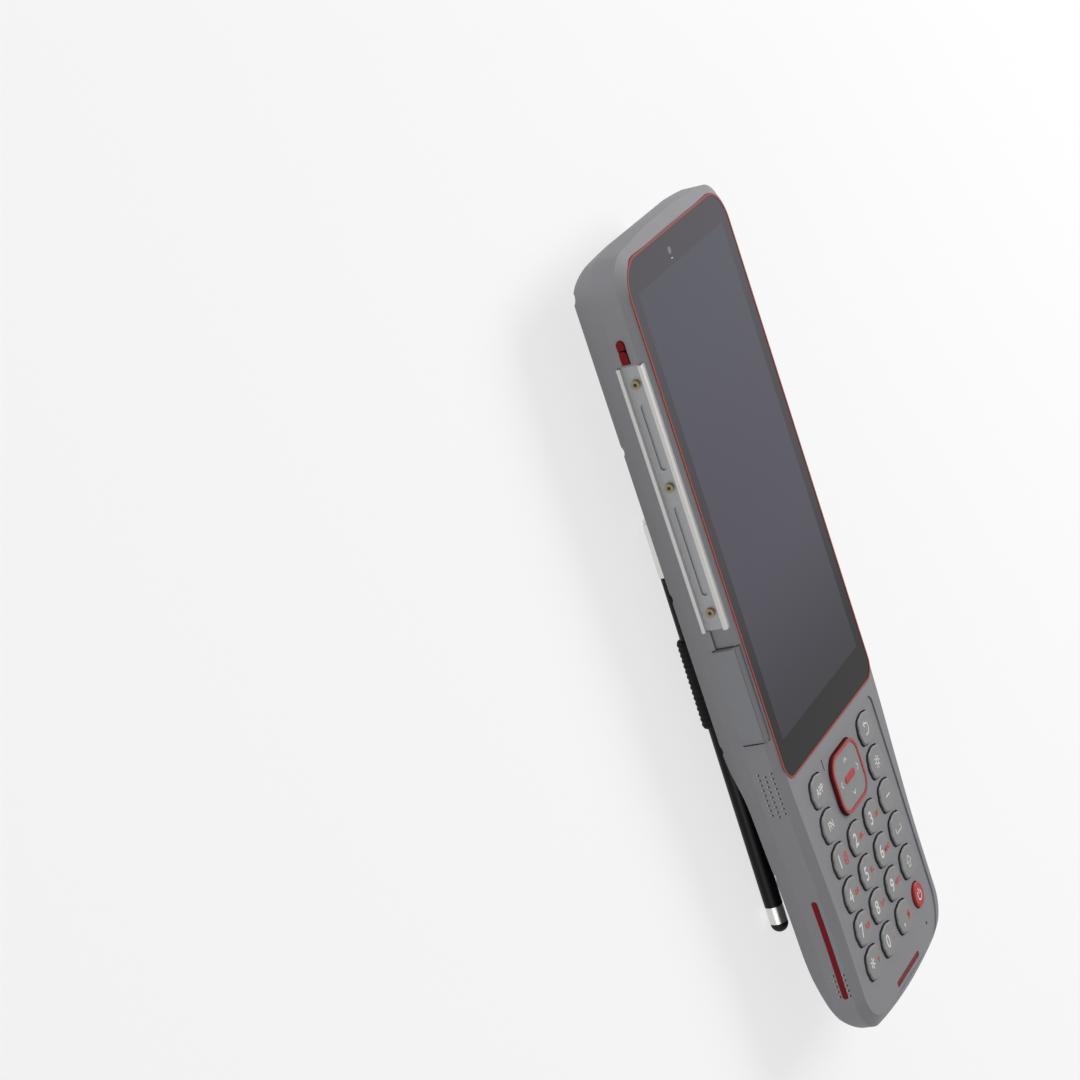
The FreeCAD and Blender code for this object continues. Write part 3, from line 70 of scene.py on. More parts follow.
# camera, floor and light
studio = {
    "cameraPlace": (-0.8371, 0.2852, 0.4153),
    "cameraRight": (0.3806, -0.3105, 0.8711),
    "cameraUp": (0.3669, 0.9154, 0.166),
    "cameraBack": (-0.8489, 0.2564, 0.4623),
    "lens": 120.08,
    "floorSize": 12.0,
    "floorDrop": 0.0001,        # the floor lies this much below the part
    "floorColour": (0.86, 0.86, 0.86),
    "floorGlow": 0.72,          # share of the floor that shows plain white
    "skyForSurfaces": 0.22,
    "keyPlace": (0.90, 0.35, 0.95), "keySize": 1.0, "keyPower": 15.5,
    "fillPlace": (-1.35, -0.20, 0.06), "fillSize": 0.7, "fillPower": 9.0,
    "endPlace": (-0.20, 1.45, 0.12), "endSize": 0.8, "endPower": 8.0,
}


class Link:
    # a socket that takes part in sums
    def __init__(self, tree, socket):
        self.tree = tree
        self.socket = socket

    def sum(self, operation, first, second):
        node = self.tree.nodes.new("ShaderNodeMath")
        node.operation = operation
        feed(self.tree, node.inputs[0], first)
        feed(self.tree, node.inputs[1], second)
        return Link(self.tree, node.outputs[0])

    def __add__(self, other):
        return self.sum("ADD", self, other)

    def __radd__(self, other):
        return self.sum("ADD", other, self)

    def __sub__(self, other):
        return self.sum("SUBTRACT", self, other)

    def __rsub__(self, other):
        return self.sum("SUBTRACT", other, self)

    def __mul__(self, other):
        return self.sum("MULTIPLY", self, other)

    def __rmul__(self, other):
        return self.sum("MULTIPLY", other, self)

    def __abs__(self):
        return self.sum("ABSOLUTE", self, 0.0)

    def wave(self):
        return self.sum("SINE", self, 0.0)

    def bigger(self, other):
        return self.sum("MAXIMUM", self, other)


def feed(tree, socket, value):
    if isinstance(value, Link):
        tree.links.new(value.socket, socket)
    else:
        socket.default_value = value


def seenDirectly(tree):
    # 1 for rays from the camera, a mirror or a clear body, and 0 for the rest
    rays = tree.nodes.new("ShaderNodeLightPath")
    camera, mirror, clear = (Link(tree, rays.outputs["Is " + kind + " Ray"])
                             for kind in ("Camera", "Glossy", "Transmission"))
    return camera.bigger(mirror).bigger(clear)


class Finish:
    # a material built on its principled shader
    def __init__(self, name, colour=(0.5, 0.5, 0.5), roughness=0.5, **constants):
        self.material = bpy.data.materials.new(name)
        self.material.use_nodes = True
        self.tree = self.material.node_tree
        self.shader = self.tree.nodes["Principled BSDF"]
        self.put("Base Color", (*colour, 1.0))
        self.put("Roughness", roughness)
        for name, value in constants.items():
            self.put(name.replace("_", " "), value)

    def node(self, kind, settings=None, sockets=None, out=0):
        node = self.tree.nodes.new(kind)
        for name, value in (settings or {}).items():
            setattr(node, name, value)
        for name, value in (sockets or {}).items():
            feed(self.tree, node.inputs[name], value)
        return Link(self.tree, node.outputs[out])

    def put(self, socket, value):
        feed(self.tree, self.shader.inputs[socket], value)

    def place(self):
        # where a point is on the piece, in millimetres
        where = self.node("ShaderNodeTexCoord", out="Object")
        return self.node("ShaderNodeVectorMath", {"operation": "SCALE"}, {0: where, "Scale": 1000.0})

    def axes(self, place):
        parts = self.tree.nodes.new("ShaderNodeSeparateXYZ")
        feed(self.tree, parts.inputs[0], place)
        return [Link(self.tree, parts.outputs[index]) for index in range(3)]

    def noise(self, place, perMm, detail=2.0, rough=0.5):
        return self.node("ShaderNodeTexNoise", None,
                         {"Vector": place, "Scale": perMm, "Detail": detail, "Roughness": rough})

    def step(self, value, low, high, start=0.0, end=1.0):
        return self.node("ShaderNodeMapRange", {"interpolation_type": "SMOOTHSTEP"},
                         {"Value": value, "From Min": low, "From Max": high, "To Min": start, "To Max": end})

    def mix(self, factor, first, second):
        node = self.tree.nodes.new("ShaderNodeMix")
        node.data_type = "RGBA"
        feed(self.tree, node.inputs[0], factor)
        feed(self.tree, node.inputs[6], first if isinstance(first, Link) else (*first, 1.0))
        feed(self.tree, node.inputs[7], second if isinstance(second, Link) else (*second, 1.0))
        return Link(self.tree, node.outputs[2])

    def bump(self, height, depth, strength=1.0):
        self.put("Normal", self.node("ShaderNodeBump", None,
                                     {"Height": height, "Distance": depth * mm, "Strength": strength}))


def setUpStudio():
    right, top, back = (Vector(studio[name]) for name in ("cameraRight", "cameraUp", "cameraBack"))
    camera = bpy.data.objects.new("camera", bpy.data.cameras.new("camera"))
    camera.data.lens = studio["lens"]
    camera.data.sensor_width = 36.0
    camera.data.clip_start = 0.01
    camera.data.clip_end = 30.0
    turn = Matrix((right, top, back)).transposed().to_4x4()
    camera.matrix_world = Matrix.Translation(studio["cameraPlace"]) @ turn
    bpy.context.scene.collection.objects.link(camera)
    bpy.context.scene.camera = camera
    for name in ("key", "fill", "end"):
        lamp = bpy.data.lights.new(name + "_light", "AREA")
        lamp.shape = "DISK"
        lamp.size = studio[name + "Size"]
        lamp.energy = studio[name + "Power"]
        holder = bpy.data.objects.new(name + "_light", lamp)
        place = Vector(studio[name + "Place"])
        aim = place.to_track_quat("Z", "Y").to_matrix().to_4x4()
        holder.matrix_world = Matrix.Translation(place) @ aim
        bpy.context.scene.collection.objects.link(holder)
    world = bpy.data.worlds.new("studio")
    bpy.context.scene.world = world
    world.use_nodes = True
    tree = world.node_tree
    background = tree.nodes["Background"]
    background.inputs["Color"].default_value = (1, 1, 1, 1)
    added = seenDirectly(tree) * (1.0 - studio["skyForSurfaces"])
    feed(tree, background.inputs["Strength"], added + studio["skyForSurfaces"])
    bpy.context.scene.view_settings.view_transform = "Standard"


def makeFloor():
    shape = bmesh.new()
    bmesh.ops.create_grid(shape, x_segments=1, y_segments=1, size=studio["floorSize"] / 2)
    bmesh.ops.translate(shape, verts=shape.verts, vec=(0, 0, cadLow.z - studio["floorDrop"]))
    floor = finishMesh(shape, "floor")
    paint = Finish("pale_floor", studio["floorColour"], 0.9)
    tree = paint.tree
    glow = paint.node("ShaderNodeEmission", None, {"Color": (1, 1, 1, 1), "Strength": 1.0})
    share = seenDirectly(tree) * studio["floorGlow"]
    both = paint.node("ShaderNodeMixShader", None,
                      {0: share, 1: Link(tree, paint.shader.outputs[0]), 2: glow})
    feed(tree, tree.nodes["Material Output"].inputs["Surface"], both)
    floor.data.materials.append(paint.material)


def finishMesh(shape, name, smooth=False):
    mesh = bpy.data.meshes.new(name)
    shape.to_mesh(mesh)
    shape.free()
    piece = bpy.data.objects.new(name, mesh)
    bpy.context.scene.collection.objects.link(piece)
    for face in mesh.polygons:
        face.use_smooth = smooth
    return piece


def dress(piece, finish, body):
    piece.data.materials.clear()
    piece.data.materials.append(finish.material)
    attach(piece, body)
    return piece


def topOf(node):
    low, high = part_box(node)
    return Vector(((low.x + high.x) / 2, (low.y + high.y) / 2, high.z))


# finishes
finishes = {}

# where a finish changes on its piece, in millimetres down from its top or in from its side
change = {
    # this first pair bounds the painted shade on the walls of keys and the nav ring
    "wallShadeEnd": 0.42, "capStart": 0.2,
    # this pair bounds the painted shade along the port cover's front edge
    "coverBodyEnd": 0.4, "coverShadeStart": 0.15,
    "lipEnd": 1.3, "railFloorStart": 1.5,
}

# the screen under the glass, in millimetres from the middle of the glass
screen = {
    "half": 31.1, "top": 63.1, "low": -62.0, "blur": 0.3,
    # the ramps paint the glass lighter towards the top, as a painted reflection
    "lowerReflectionRamp": (-72.0, -12.0), "upperReflectionRamp": (-20.0, 66.0),
    "bandLowerReflectionRamp": (-60.0, 0.0), "bandUpperReflectionRamp": (0.0, 68.0),
}


def toned(colour, factor):
    return tuple(channel * factor for channel in colour)


def mouldedSkin(name, colour, roughness, grain=0.012):
    # a finely grained surface, still in one plain colour
    paint = Finish(name, colour, roughness, Specular_IOR_Level=0.25)
    fine = paint.noise(paint.place(), 3.2, 3.0, 0.6)
    paint.put("Roughness", roughness - 0.05 + fine * 0.1)
    paint.bump(fine, grain)
    return paint


def mouldedPlastic(name, colour, roughness):
    paint = mouldedSkin(name, colour, roughness)
    cloud = paint.noise(paint.place(), 0.05, 3.0)
    paint.put("Base Color", paint.mix(cloud, toned(colour, 0.95), toned(colour, 1.05)))
    return paint


def paintedShadeWalls(name, top, wall, height, roughness):
    # a cap whose walls are painted darker than its top, as painted shade
    paint = mouldedSkin(name, top, roughness, 0.006)
    place = paint.place()
    face = paint.step(paint.axes(place)[2], height / mm - change["wallShadeEnd"], height / mm - change["capStart"])
    fine = paint.noise(place, 0.3, 3.0)
    # the wall colour is painted shade; the top keeps its own tone
    paint.put("Base Color", paint.mix(face, wall, paint.mix(fine, top, toned(top, 1.05))))
    return paint


def coverRubber():
    # the edge by the front face is painted a darker grey, as painted shade
    colour = (0.225, 0.229, 0.250)
    paint = mouldedSkin("cover_grey_rubber", colour, 0.66, 0.016)
    place = paint.place()
    top = topOf("port_cover").z / mm
    edge = paint.step(paint.axes(place)[2], top - change["coverBodyEnd"], top - change["coverShadeStart"])
    cloud = paint.noise(place, 0.4, 3.0)
    body = paint.mix(cloud, toned(colour, 0.95), colour)
    # the darker grey by the front face is painted shade
    paint.put("Base Color", paint.mix(edge, body, (0.125, 0.123, 0.132)))
    return paint


def screenGlass():
    paint = Finish("screen_glass_face", (0.1, 0.1, 0.12), 0.07, Specular_IOR_Level=0.06)
    place = paint.place()
    x, y = paint.axes(place)[:2]
    middle = screenMiddle / mm
    across = abs(x - middle.x)
    along = y - middle.y
    half, top, low, blur = (screen[name] for name in ("half", "top", "low", "blur"))
    inside = paint.step(across, half, half + blur, 1.0, 0.0) * paint.step(along, top, top + blur, 1.0, 0.0)
    inside = inside * paint.step(along, low, low + blur)
    # the screen and its black band are painted lighter towards the top, a painted reflection over their dark
    # colours
    lower = paint.step(along, *screen["lowerReflectionRamp"])
    upper = paint.step(along, *screen["upperReflectionRamp"])
    activeWithReflection = paint.mix(lower, (0.034, 0.031, 0.042), (0.084, 0.081, 0.108))
    activeWithReflection = paint.mix(upper, activeWithReflection, (0.104, 0.103, 0.134))
    lower = paint.step(along, *screen["bandLowerReflectionRamp"])
    upper = paint.step(along, *screen["bandUpperReflectionRamp"])
    bandWithReflection = paint.mix(lower, (0.012, 0.012, 0.013), (0.062, 0.052, 0.064))
    bandWithReflection = paint.mix(upper, bandWithReflection, (0.094, 0.088, 0.100))
    paint.put("Base Color", paint.mix(inside, bandWithReflection, activeWithReflection))
    smudge = paint.noise(place, 0.08, 4.0)
    paint.put("Roughness", 0.05 + smudge * 0.06)
    return paint


def wovenWeb(name, colour, pitch=0.7, sheen=0.2):
    paint = Finish(name, colour, 0.85, Sheen_Weight=sheen, Sheen_Roughness=0.5, Specular_IOR_Level=0.2)
    place = paint.place()
    x, y, z = paint.axes(place)
    turn = 2 * math.pi / pitch
    weave = (x * turn).wave() * ((y + z) * turn).wave()
    fuzz = paint.noise(place, 2.5, 3.0)
    light = tuple(channel * 1.9 + 0.004 for channel in colour)
    paint.put("Base Color", paint.mix(weave * 0.5 + 0.5, colour, light))
    paint.put("Roughness", 0.78 + fuzz * 0.15)
    paint.bump(weave * 0.7 + fuzz * 0.5, 0.09)
    return paint


def brushedSkin(name, colour, roughness, streak=6.0, axis=1):
    # fine lines pulled along one axis, given back with the material
    paint = Finish(name, colour, roughness, Metallic=1.0)
    stretch = [streak, streak, streak]
    stretch[axis] = streak * 0.04
    pulled = paint.node("ShaderNodeMapping", None, {"Vector": paint.place(), "Scale": stretch})
    lines = paint.noise(pulled, 1.0, 2.0)
    paint.bump(lines, 0.004)
    return paint, lines


def brushedMetal(name, colour, roughness, streak=6.0, axis=1):
    paint, lines = brushedSkin(name, colour, roughness, streak, axis)
    paint.put("Base Color", paint.mix(lines, toned(colour, 0.93), colour))
    paint.put("Roughness", roughness - 0.06 + lines * 0.12)
    return paint


def railMetal():
    # the lips are a brighter tone than the floor between them
    paint = brushedSkin("rail_aluminium", (0.40, 0.40, 0.41), 0.42)[0]
    place = paint.place()
    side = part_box("accessory_rail")[0].x / mm
    lip = paint.step(paint.axes(place)[0], side + change["lipEnd"], side + change["railFloorStart"], 1.0, 0.0)
    grain = paint.noise(place, 2.4, 3.0)
    floor = paint.mix(grain, (0.235, 0.238, 0.244), (0.285, 0.288, 0.294))
    bright = paint.mix(grain, (0.46, 0.45, 0.445), (0.52, 0.51, 0.505))
    paint.put("Base Color", paint.mix(lip, floor, bright))
    paint.put("Roughness", lip * -0.12 + 0.44)
    return paint


def glossyPlain(name, colour, roughness, **more):
    paint = Finish(name, colour, roughness, **more)
    speck = paint.noise(paint.place(), 0.6, 3.0)
    paint.put("Base Color", paint.mix(speck, toned(colour, 0.93), colour))
    paint.put("Roughness", roughness - 0.03 + speck * 0.06)
    return paint


def makeFinishes():
    finishes["shell"] = mouldedPlastic("shell_grey_moulded", (0.235, 0.234, 0.250), 0.58)
    finishes["cover"] = coverRubber()
    # the keys' walls are painted darker, as painted shade
    finishes["key"] = paintedShadeWalls("key_grey_satin", (0.228, 0.226, 0.230), (0.045, 0.046, 0.050),
                                 topOf("key_5").z, 0.5)
    finishes["glass"] = screenGlass()
    finishes["trimRed"] = glossyPlain("trim_red_satin", (0.27, 0.034, 0.026), 0.4,
                                      Specular_IOR_Level=0.2)
    # the nav ring's walls are painted dark red, as painted shade
    finishes["ringRed"] = paintedShadeWalls("ring_red_satin", (0.34, 0.030, 0.026), (0.10, 0.005, 0.007),
                                     topOf("nav_ring").z, 0.4)
    finishes["powerRed"] = glossyPlain("power_red_satin", (0.40, 0.020, 0.026), 0.4,
                                       Specular_IOR_Level=0.2)
    finishes["inlayRed"] = glossyPlain("inlay_red_satin", (0.17, 0.004, 0.007), 0.45,
                                       Specular_IOR_Level=0.12)
    finishes["barRed"] = glossyPlain("bar_red_satin", (0.155, 0.006, 0.007), 0.45,
                                     Specular_IOR_Level=0.12)
    finishes["rail"] = railMetal()
    finishes["brass"] = brushedMetal("screw_brass_turned", (0.26, 0.21, 0.125), 0.3, 9.0, 0)
    finishes["steel"] = brushedMetal("screw_steel_plated", (0.52, 0.52, 0.53), 0.34)
    finishes["silver"] = brushedMetal("stylus_silver_satin", (0.74, 0.73, 0.71), 0.26)
    finishes["stylusBlack"] = glossyPlain("stylus_black_satin", (0.003, 0.003, 0.004), 0.4,
                                          Specular_IOR_Level=0.15)
    finishes["rubber"] = glossyPlain("rubber_black_soft", (0.005, 0.005, 0.005), 0.55,
                                     Specular_IOR_Level=0.2)
    finishes["web"] = wovenWeb("strap_black_web", (0.008, 0.008, 0.009))
    finishes["padCloth"] = wovenWeb("pad_black_cloth", (0.012, 0.012, 0.013), 1.3)
    finishes["elastic"] = wovenWeb("loop_black_elastic", (0.002, 0.002, 0.002), 0.5, 0.05)
    finishes["thread"] = glossyPlain("thread_dark", (0.055, 0.055, 0.058), 0.7)
    # white for printed legends, and for the dash painted as a reflection on the glass
    finishes["white"] = glossyPlain("legend_white_and_painted_reflection", (0.74, 0.74, 0.74), 0.5, Specular_IOR_Level=0.2)
    finishes["legendRed"] = glossyPlain("legend_red", (0.52, 0.024, 0.03), 0.5, Specular_IOR_Level=0.2)
    # dark discs painted as the shade inside holes and screw sockets
    finishes["hole"] = glossyPlain("hole_dark", (0.050, 0.048, 0.054), 0.8, Specular_IOR_Level=0.1)
    # pale discs painted as the highlight on a hole's lit wall
    finishes["holeRim"] = glossyPlain("hole_rim_light", (0.42, 0.43, 0.43), 0.6)
    finishes["lensBlack"] = glossyPlain("lens_black_glass", (0.006, 0.006, 0.008), 0.06, Coat_Weight=1.0)
    finishes["bezel"] = brushedMetal("bezel_dark_anodised", (0.09, 0.09, 0.10), 0.35)
    finishes["board"] = glossyPlain("board_green_mask", (0.02, 0.09, 0.04), 0.4)
    finishes["flash"] = glossyPlain("flash_amber_lens", (0.62, 0.55, 0.32), 0.2)


nodeFinish = {
    "shell": ["front_housing", "rear_housing", "strap_anchor_upper", "strap_anchor_lower"],
    "cover": ["port_cover"],
    "glass": ["cover_glass"],
    "trimRed": ["screen_trim"],
    "ringRed": ["nav_ring"],
    "powerRed": ["key_power"],
    "inlayRed": ["side_stripe", "side_key_upper", "side_key_lower"],
    "barRed": ["front_bar"],
    "rail": ["accessory_rail"],
    "brass": ["rail_screws"],
    "steel": ["housing_screws", "small_screws", "cover_hinge_pin", "usb_socket"],
    "silver": ["stylus_cap", "stylus_collar", "stylus_clip"],
    "stylusBlack": ["stylus_barrel"],
    "rubber": ["stylus_tip", "housing_seal", "keypad_membrane", "nav_plunger", "nav_pivot_ball",
               "battery_pack", "speaker"],
    "lensBlack": ["front_camera", "rear_camera", "display_panel"],
    "bezel": ["rear_camera_bezel"],
    "board": ["main_board"],
    "flash": ["rear_flash"],
}


def paintNodes():
    chosen = {node: name for name, members in nodeFinish.items() for node in members}
    for node, piece in nodes.items():
        finish = finishes[chosen.get(node, "key")]
        if not piece.data.materials:
            piece.data.materials.append(finish.material)
        for index in range(len(piece.data.materials)):
            piece.data.materials[index] = finish.material


# printed legends
legend = {
    "digitSize": 5.4, "digitShift": -1.7, "markSize": 7.0, "starDrop": -0.9,
    "wordSize": 3.3, "wordNarrow": 0.9,
    "letterSize": 2.2, "letterShift": 2.6, "letterDrop": -0.5, "letterNarrow": 0.8, "signSize": 4.0,
    "swell": 0.05, "strokeHalf": 0.24, "strokeFlat": 0.08, "thickness": 0.02, "lift": 0.015,
    "digits": {
        "key_1": ("1", "@"), "key_2": ("2", "ABC"), "key_3": ("3", "DEF"), "key_4": ("4", "GHI"),
        "key_5": ("5", "JKL"), "key_6": ("6", "MNO"), "key_7": ("7", "PQR"), "key_8": ("8", "TUV"),
        "key_9": ("9", "WXY"), "key_star": ("*", "+"), "key_0": ("0", "-"), "key_dot": (".", "#"),
    },
    "words": {"key_app": "APP", "key_fn": "FN"},
    "arrows": {"up": (0, 4.8, 0), "down": (0, -4.8, 180), "left": (-6.5, 0, 90), "right": (6.5, 0, -90)},
    "arrowPoints": ((-0.95, -0.45), (0, 0.55), (0.95, -0.45)),
    "bar": (7.6, 2.1, 0.5), "barCorner": 1.0, "barEdge": 0.12, "barSink": 0.05,
}


def layCurve(name, curve, place, stretch, finish, body):
    # the curve is made a mesh before it is put in its place
    holder = bpy.data.objects.new(curve.name, curve)
    bpy.context.scene.collection.objects.link(holder)
    bpy.context.view_layer.update()
    solved = holder.evaluated_get(bpy.context.evaluated_depsgraph_get())
    mesh = bpy.data.meshes.new_from_object(solved)
    bpy.data.objects.remove(holder)
    lifted = place + Vector((0, 0, legend["lift"] * mm))
    mesh.transform(Matrix.Translation(lifted) @ Matrix.Diagonal((*stretch, 1)))
    piece = bpy.data.objects.new(name, mesh)
    bpy.context.scene.collection.objects.link(piece)
    dress(piece, finish, body)


def printWord(name, words, size, place, finish, body, narrow=1.0):
    curve = bpy.data.curves.new(name + "_type", "FONT")
    curve.body = words
    curve.size = size * mm
    curve.align_x = "CENTER"
    curve.align_y = "CENTER"
    curve.extrude = legend["thickness"] * mm / 2
    curve.offset = legend["swell"] * mm
    curve.resolution_u = 3
    layCurve(name, curve, place, (narrow, 1, 1), finish, body)


def printStrokes(name, lines, place, finish, body, slot):
    # each line is a row of points in millimetres from the middle of the key
    curve = bpy.data.curves.new(name + "_line", "CURVE")
    curve.dimensions = "3D"
    curve.bevel_depth = legend["strokeHalf"] * mm
    curve.bevel_resolution = 1
    curve.use_fill_caps = True
    for points, closed in lines:
        spline = curve.splines.new("POLY")
        spline.points.add(len(points) - 1)
        spline.use_cyclic_u = closed
        for point, (x, y) in zip(spline.points, points):
            point.co = (x * mm, y * mm, 0, 1)
    layCurve(name, curve, place, (1, 1, legend["strokeFlat"]), finish, body)


def bow(x, y, radius, start, end, steps=14):
    # points round part of a circle, angles in degrees
    angles = [math.radians(start + (end - start) * step / steps) for step in range(steps + 1)]
    return [(x + radius * math.cos(angle), y + radius * math.sin(angle)) for angle in angles]


def spoke(inner, outer, turn):
    # a short line that points away from the middle, its direction in degrees
    angle = math.radians(turn)
    return [(reach * math.cos(angle), reach * math.sin(angle)) for reach in (inner, outer)]


def printKeys():
    for node, (digit, letters) in legend["digits"].items():
        place = topOf(node)
        size = legend["markSize"] if digit in "*." else legend["digitSize"]
        drop = legend["starDrop"] if digit == "*" else 0.0
        spot = place + Vector((legend["digitShift"] * mm, drop * mm, 0))
        printWord("legend_" + node[4:], digit, size, spot, finishes["white"], bodyOf[node])
        size = legend["letterSize"] if len(letters) > 1 else legend["signSize"]
        spot = place + Vector((legend["letterShift"] * mm, legend["letterDrop"] * mm, 0))
        printWord("letters_" + node[4:], letters, size, spot, finishes["legendRed"], bodyOf[node],
                  legend["letterNarrow"])
    for node, words in legend["words"].items():
        printWord("legend_" + node[4:], words, legend["wordSize"], topOf(node), finishes["white"],
                  bodyOf[node], legend["wordNarrow"])


def printSymbols():
    drawn = {
        "key_back": [(bow(-0.2, 0, 1.5, -90, 90) + [(-1.8, 1.5)], False),
                     ([(-0.9, 2.3), (-1.8, 1.5), (-0.9, 0.7)], False),
                     ([(-0.2, -1.5), (-1.6, -1.5)], False)],
        "key_menu": [(bow(0, 0, 0.8, 0, 360), True)]
                    + [(spoke(1.25, 1.9, 45 * turn), False) for turn in range(8)],
        "key_minus": [([(-1.5, 0), (1.5, 0)], False)],
        "key_space": [([(-2.0, 0.6), (-2.0, -0.8), (2.0, -0.8), (2.0, 0.6)], False)],
        "key_hash": [([(-0.7, -1.4), (-0.7, 0.1), (-1.7, 0.1), (0, 1.8),
                       (1.7, 0.1), (0.7, 0.1), (0.7, -1.4)], True)],
        "key_power": [(bow(0, -0.1, 1.4, 125, 415), False), ([(0, 0.2), (0, 1.9)], False)],
    }
    for node, lines in drawn.items():
        printStrokes("legend_" + node[4:], lines, topOf(node), finishes["white"], bodyOf[node],
                     "power_red" if node == "key_power" else "key_grey")


def printArrows():
    plate = topOf("nav_plate")
    for name, (x, y, turn) in legend["arrows"].items():
        angle = math.radians(turn)
        points = [(px * math.cos(angle) - py * math.sin(angle), px * math.sin(angle) + py * math.cos(angle))
                  for px, py in legend["arrowPoints"]]
        spot = plate + Vector((x * mm, y * mm, 0))
        printStrokes("arrow_" + name, [(points, False)], spot, finishes["white"], bodyOf["nav_plate"],
                     "key_grey")


def makeCentreBar():
    shape = bmesh.new()
    bmesh.ops.create_cube(shape, size=1.0)
    bmesh.ops.scale(shape, verts=shape.verts, vec=[size * mm for size in legend["bar"]])
    upright = [edge for edge in shape.edges
               if abs((edge.verts[0].co - edge.verts[1].co).z) > 0.1 * mm]
    bmesh.ops.bevel(shape, geom=upright, offset=legend["barCorner"] * mm, segments=6, affect="EDGES",
                    profile=0.5, material=-1)
    rims = [edge for edge in shape.edges if all(vert.co.z > 0 for vert in edge.verts)]
    bmesh.ops.bevel(shape, geom=rims, offset=legend["barEdge"] * mm, segments=2, affect="EDGES",
                    profile=0.5, material=-1)
    middle = topOf("nav_plate") + Vector((0, 0, -legend["barSink"] * mm))
    bmesh.ops.translate(shape, verts=shape.verts, vec=middle)
    dress(finishMesh(shape, "nav_centre_bar"), finishes["powerRed"], bodyOf["nav_plate"])
    print("legends printed")


# small details on the housing's sides
details = {
    "dotRadius": 0.36, "dotSegments": 8, "dotThick": 0.06,
    "grilleRows": 9, "grilleTop": -67.6, "grillePitch": 1.5, "grilleDepths": (2.5, 4.5, 6.3),
    "lowRows": 5, "lowTop": -128.9, "lowPitch": 1.57, "lowDepths": (2.45, 5.45),
    "rimRadius": 0.24, "rimShift": 0.34, "rimSegments": 6, "rimThick": 0.08,
    "domeRise": 0.16, "domeSteps": ((0.25, 0.5), (0.3, 0.35), (0.25, 0.15)), "domeSegments": 24,
    "socketRadius": 0.55, "socketLift": 0.01, "screwReach": 2,
    "markLift": 0.02,
    "lensPlace": (-5.6, 67.0), "lensRadius": 1.0, "reflectionDashPlace": (-5.5, 64.8), "reflectionDashSize": (1.1, 0.3),
}


def sideSurface():
    depsgraph = bpy.context.evaluated_depsgraph_get()
    return BVHTree.FromObject(nodes["front_housing"], depsgraph)


def dotSpots():
    # each dot's place along the side and its depth below the glass
    spots = []
    for column, depth in enumerate(details["grilleDepths"]):
        for row in range(details["grilleRows"]):
            spots.append((details["grilleTop"] - (row + 0.5 * (column % 2)) * details["grillePitch"], depth))
    for depth in details["lowDepths"]:
        for row in range(details["lowRows"]):
            spots.append((details["lowTop"] - row * details["lowPitch"], depth))
    return spots


def addDisc(shape, kind, place, turn):
    radius = details[kind + "Radius"] * mm
    bmesh.ops.create_cone(shape, cap_ends=True, segments=details[kind + "Segments"], radius1=radius,
                          radius2=radius, depth=details[kind + "Thick"] * mm,
                          matrix=Matrix.Translation(place) @ turn)


def makeDots():
    # dark discs painted as the shade inside each hole, each with a paler disc painted as the highlight on the
    # hole's lit wall
    tree = sideSurface()
    shape = bmesh.new()
    rims = bmesh.new()
    for along, depth in dotSpots():
        start = Vector((-0.1, screenMiddle.y + along * mm, screenHigh.z - depth * mm))
        hit, normal = tree.ray_cast(start, Vector((1, 0, 0)))[:2]
        if hit is None:
            continue
        turn = normal.to_track_quat("Z", "Y").to_matrix().to_4x4()
        addDisc(shape, "dot", hit, turn)
        addDisc(rims, "rim", hit + Vector((0, 0.1, -1)) * details["rimShift"] * mm, turn)
    dress(finishMesh(shape, "side_grille_hole_shade"), finishes["hole"], "housing")
    dress(finishMesh(rims, "side_grille_painted_highlights"), finishes["holeRim"], "housing")


def onGlass(place):
    x, y = (screenMiddle.x / mm + place[0], screenMiddle.y / mm + place[1])
    return Matrix.Translation((x * mm, y * mm, screenHigh.z + details["markLift"] * mm))


def makeGlassMarks():
    # the camera's window printed on the glass, and a pale dash below it painted as a reflection
    lens = bmesh.new()
    bmesh.ops.create_circle(lens, segments=28, radius=details["lensRadius"] * mm, cap_ends=True,
                            matrix=onGlass(details["lensPlace"]))
    dress(finishMesh(lens, "front_lens_window"), finishes["lensBlack"], "housing")
    # a pale dash painted as a reflection on the glass
    reflectionDash = bmesh.new()
    face = onGlass(details["reflectionDashPlace"]) @ Matrix.Diagonal((*details["reflectionDashSize"], 1, 1))
    bmesh.ops.create_circle(reflectionDash, segments=12, radius=mm / 2, cap_ends=True, matrix=face)
    dress(finishMesh(reflectionDash, "glass_reflection_dash"), finishes["white"], "housing")


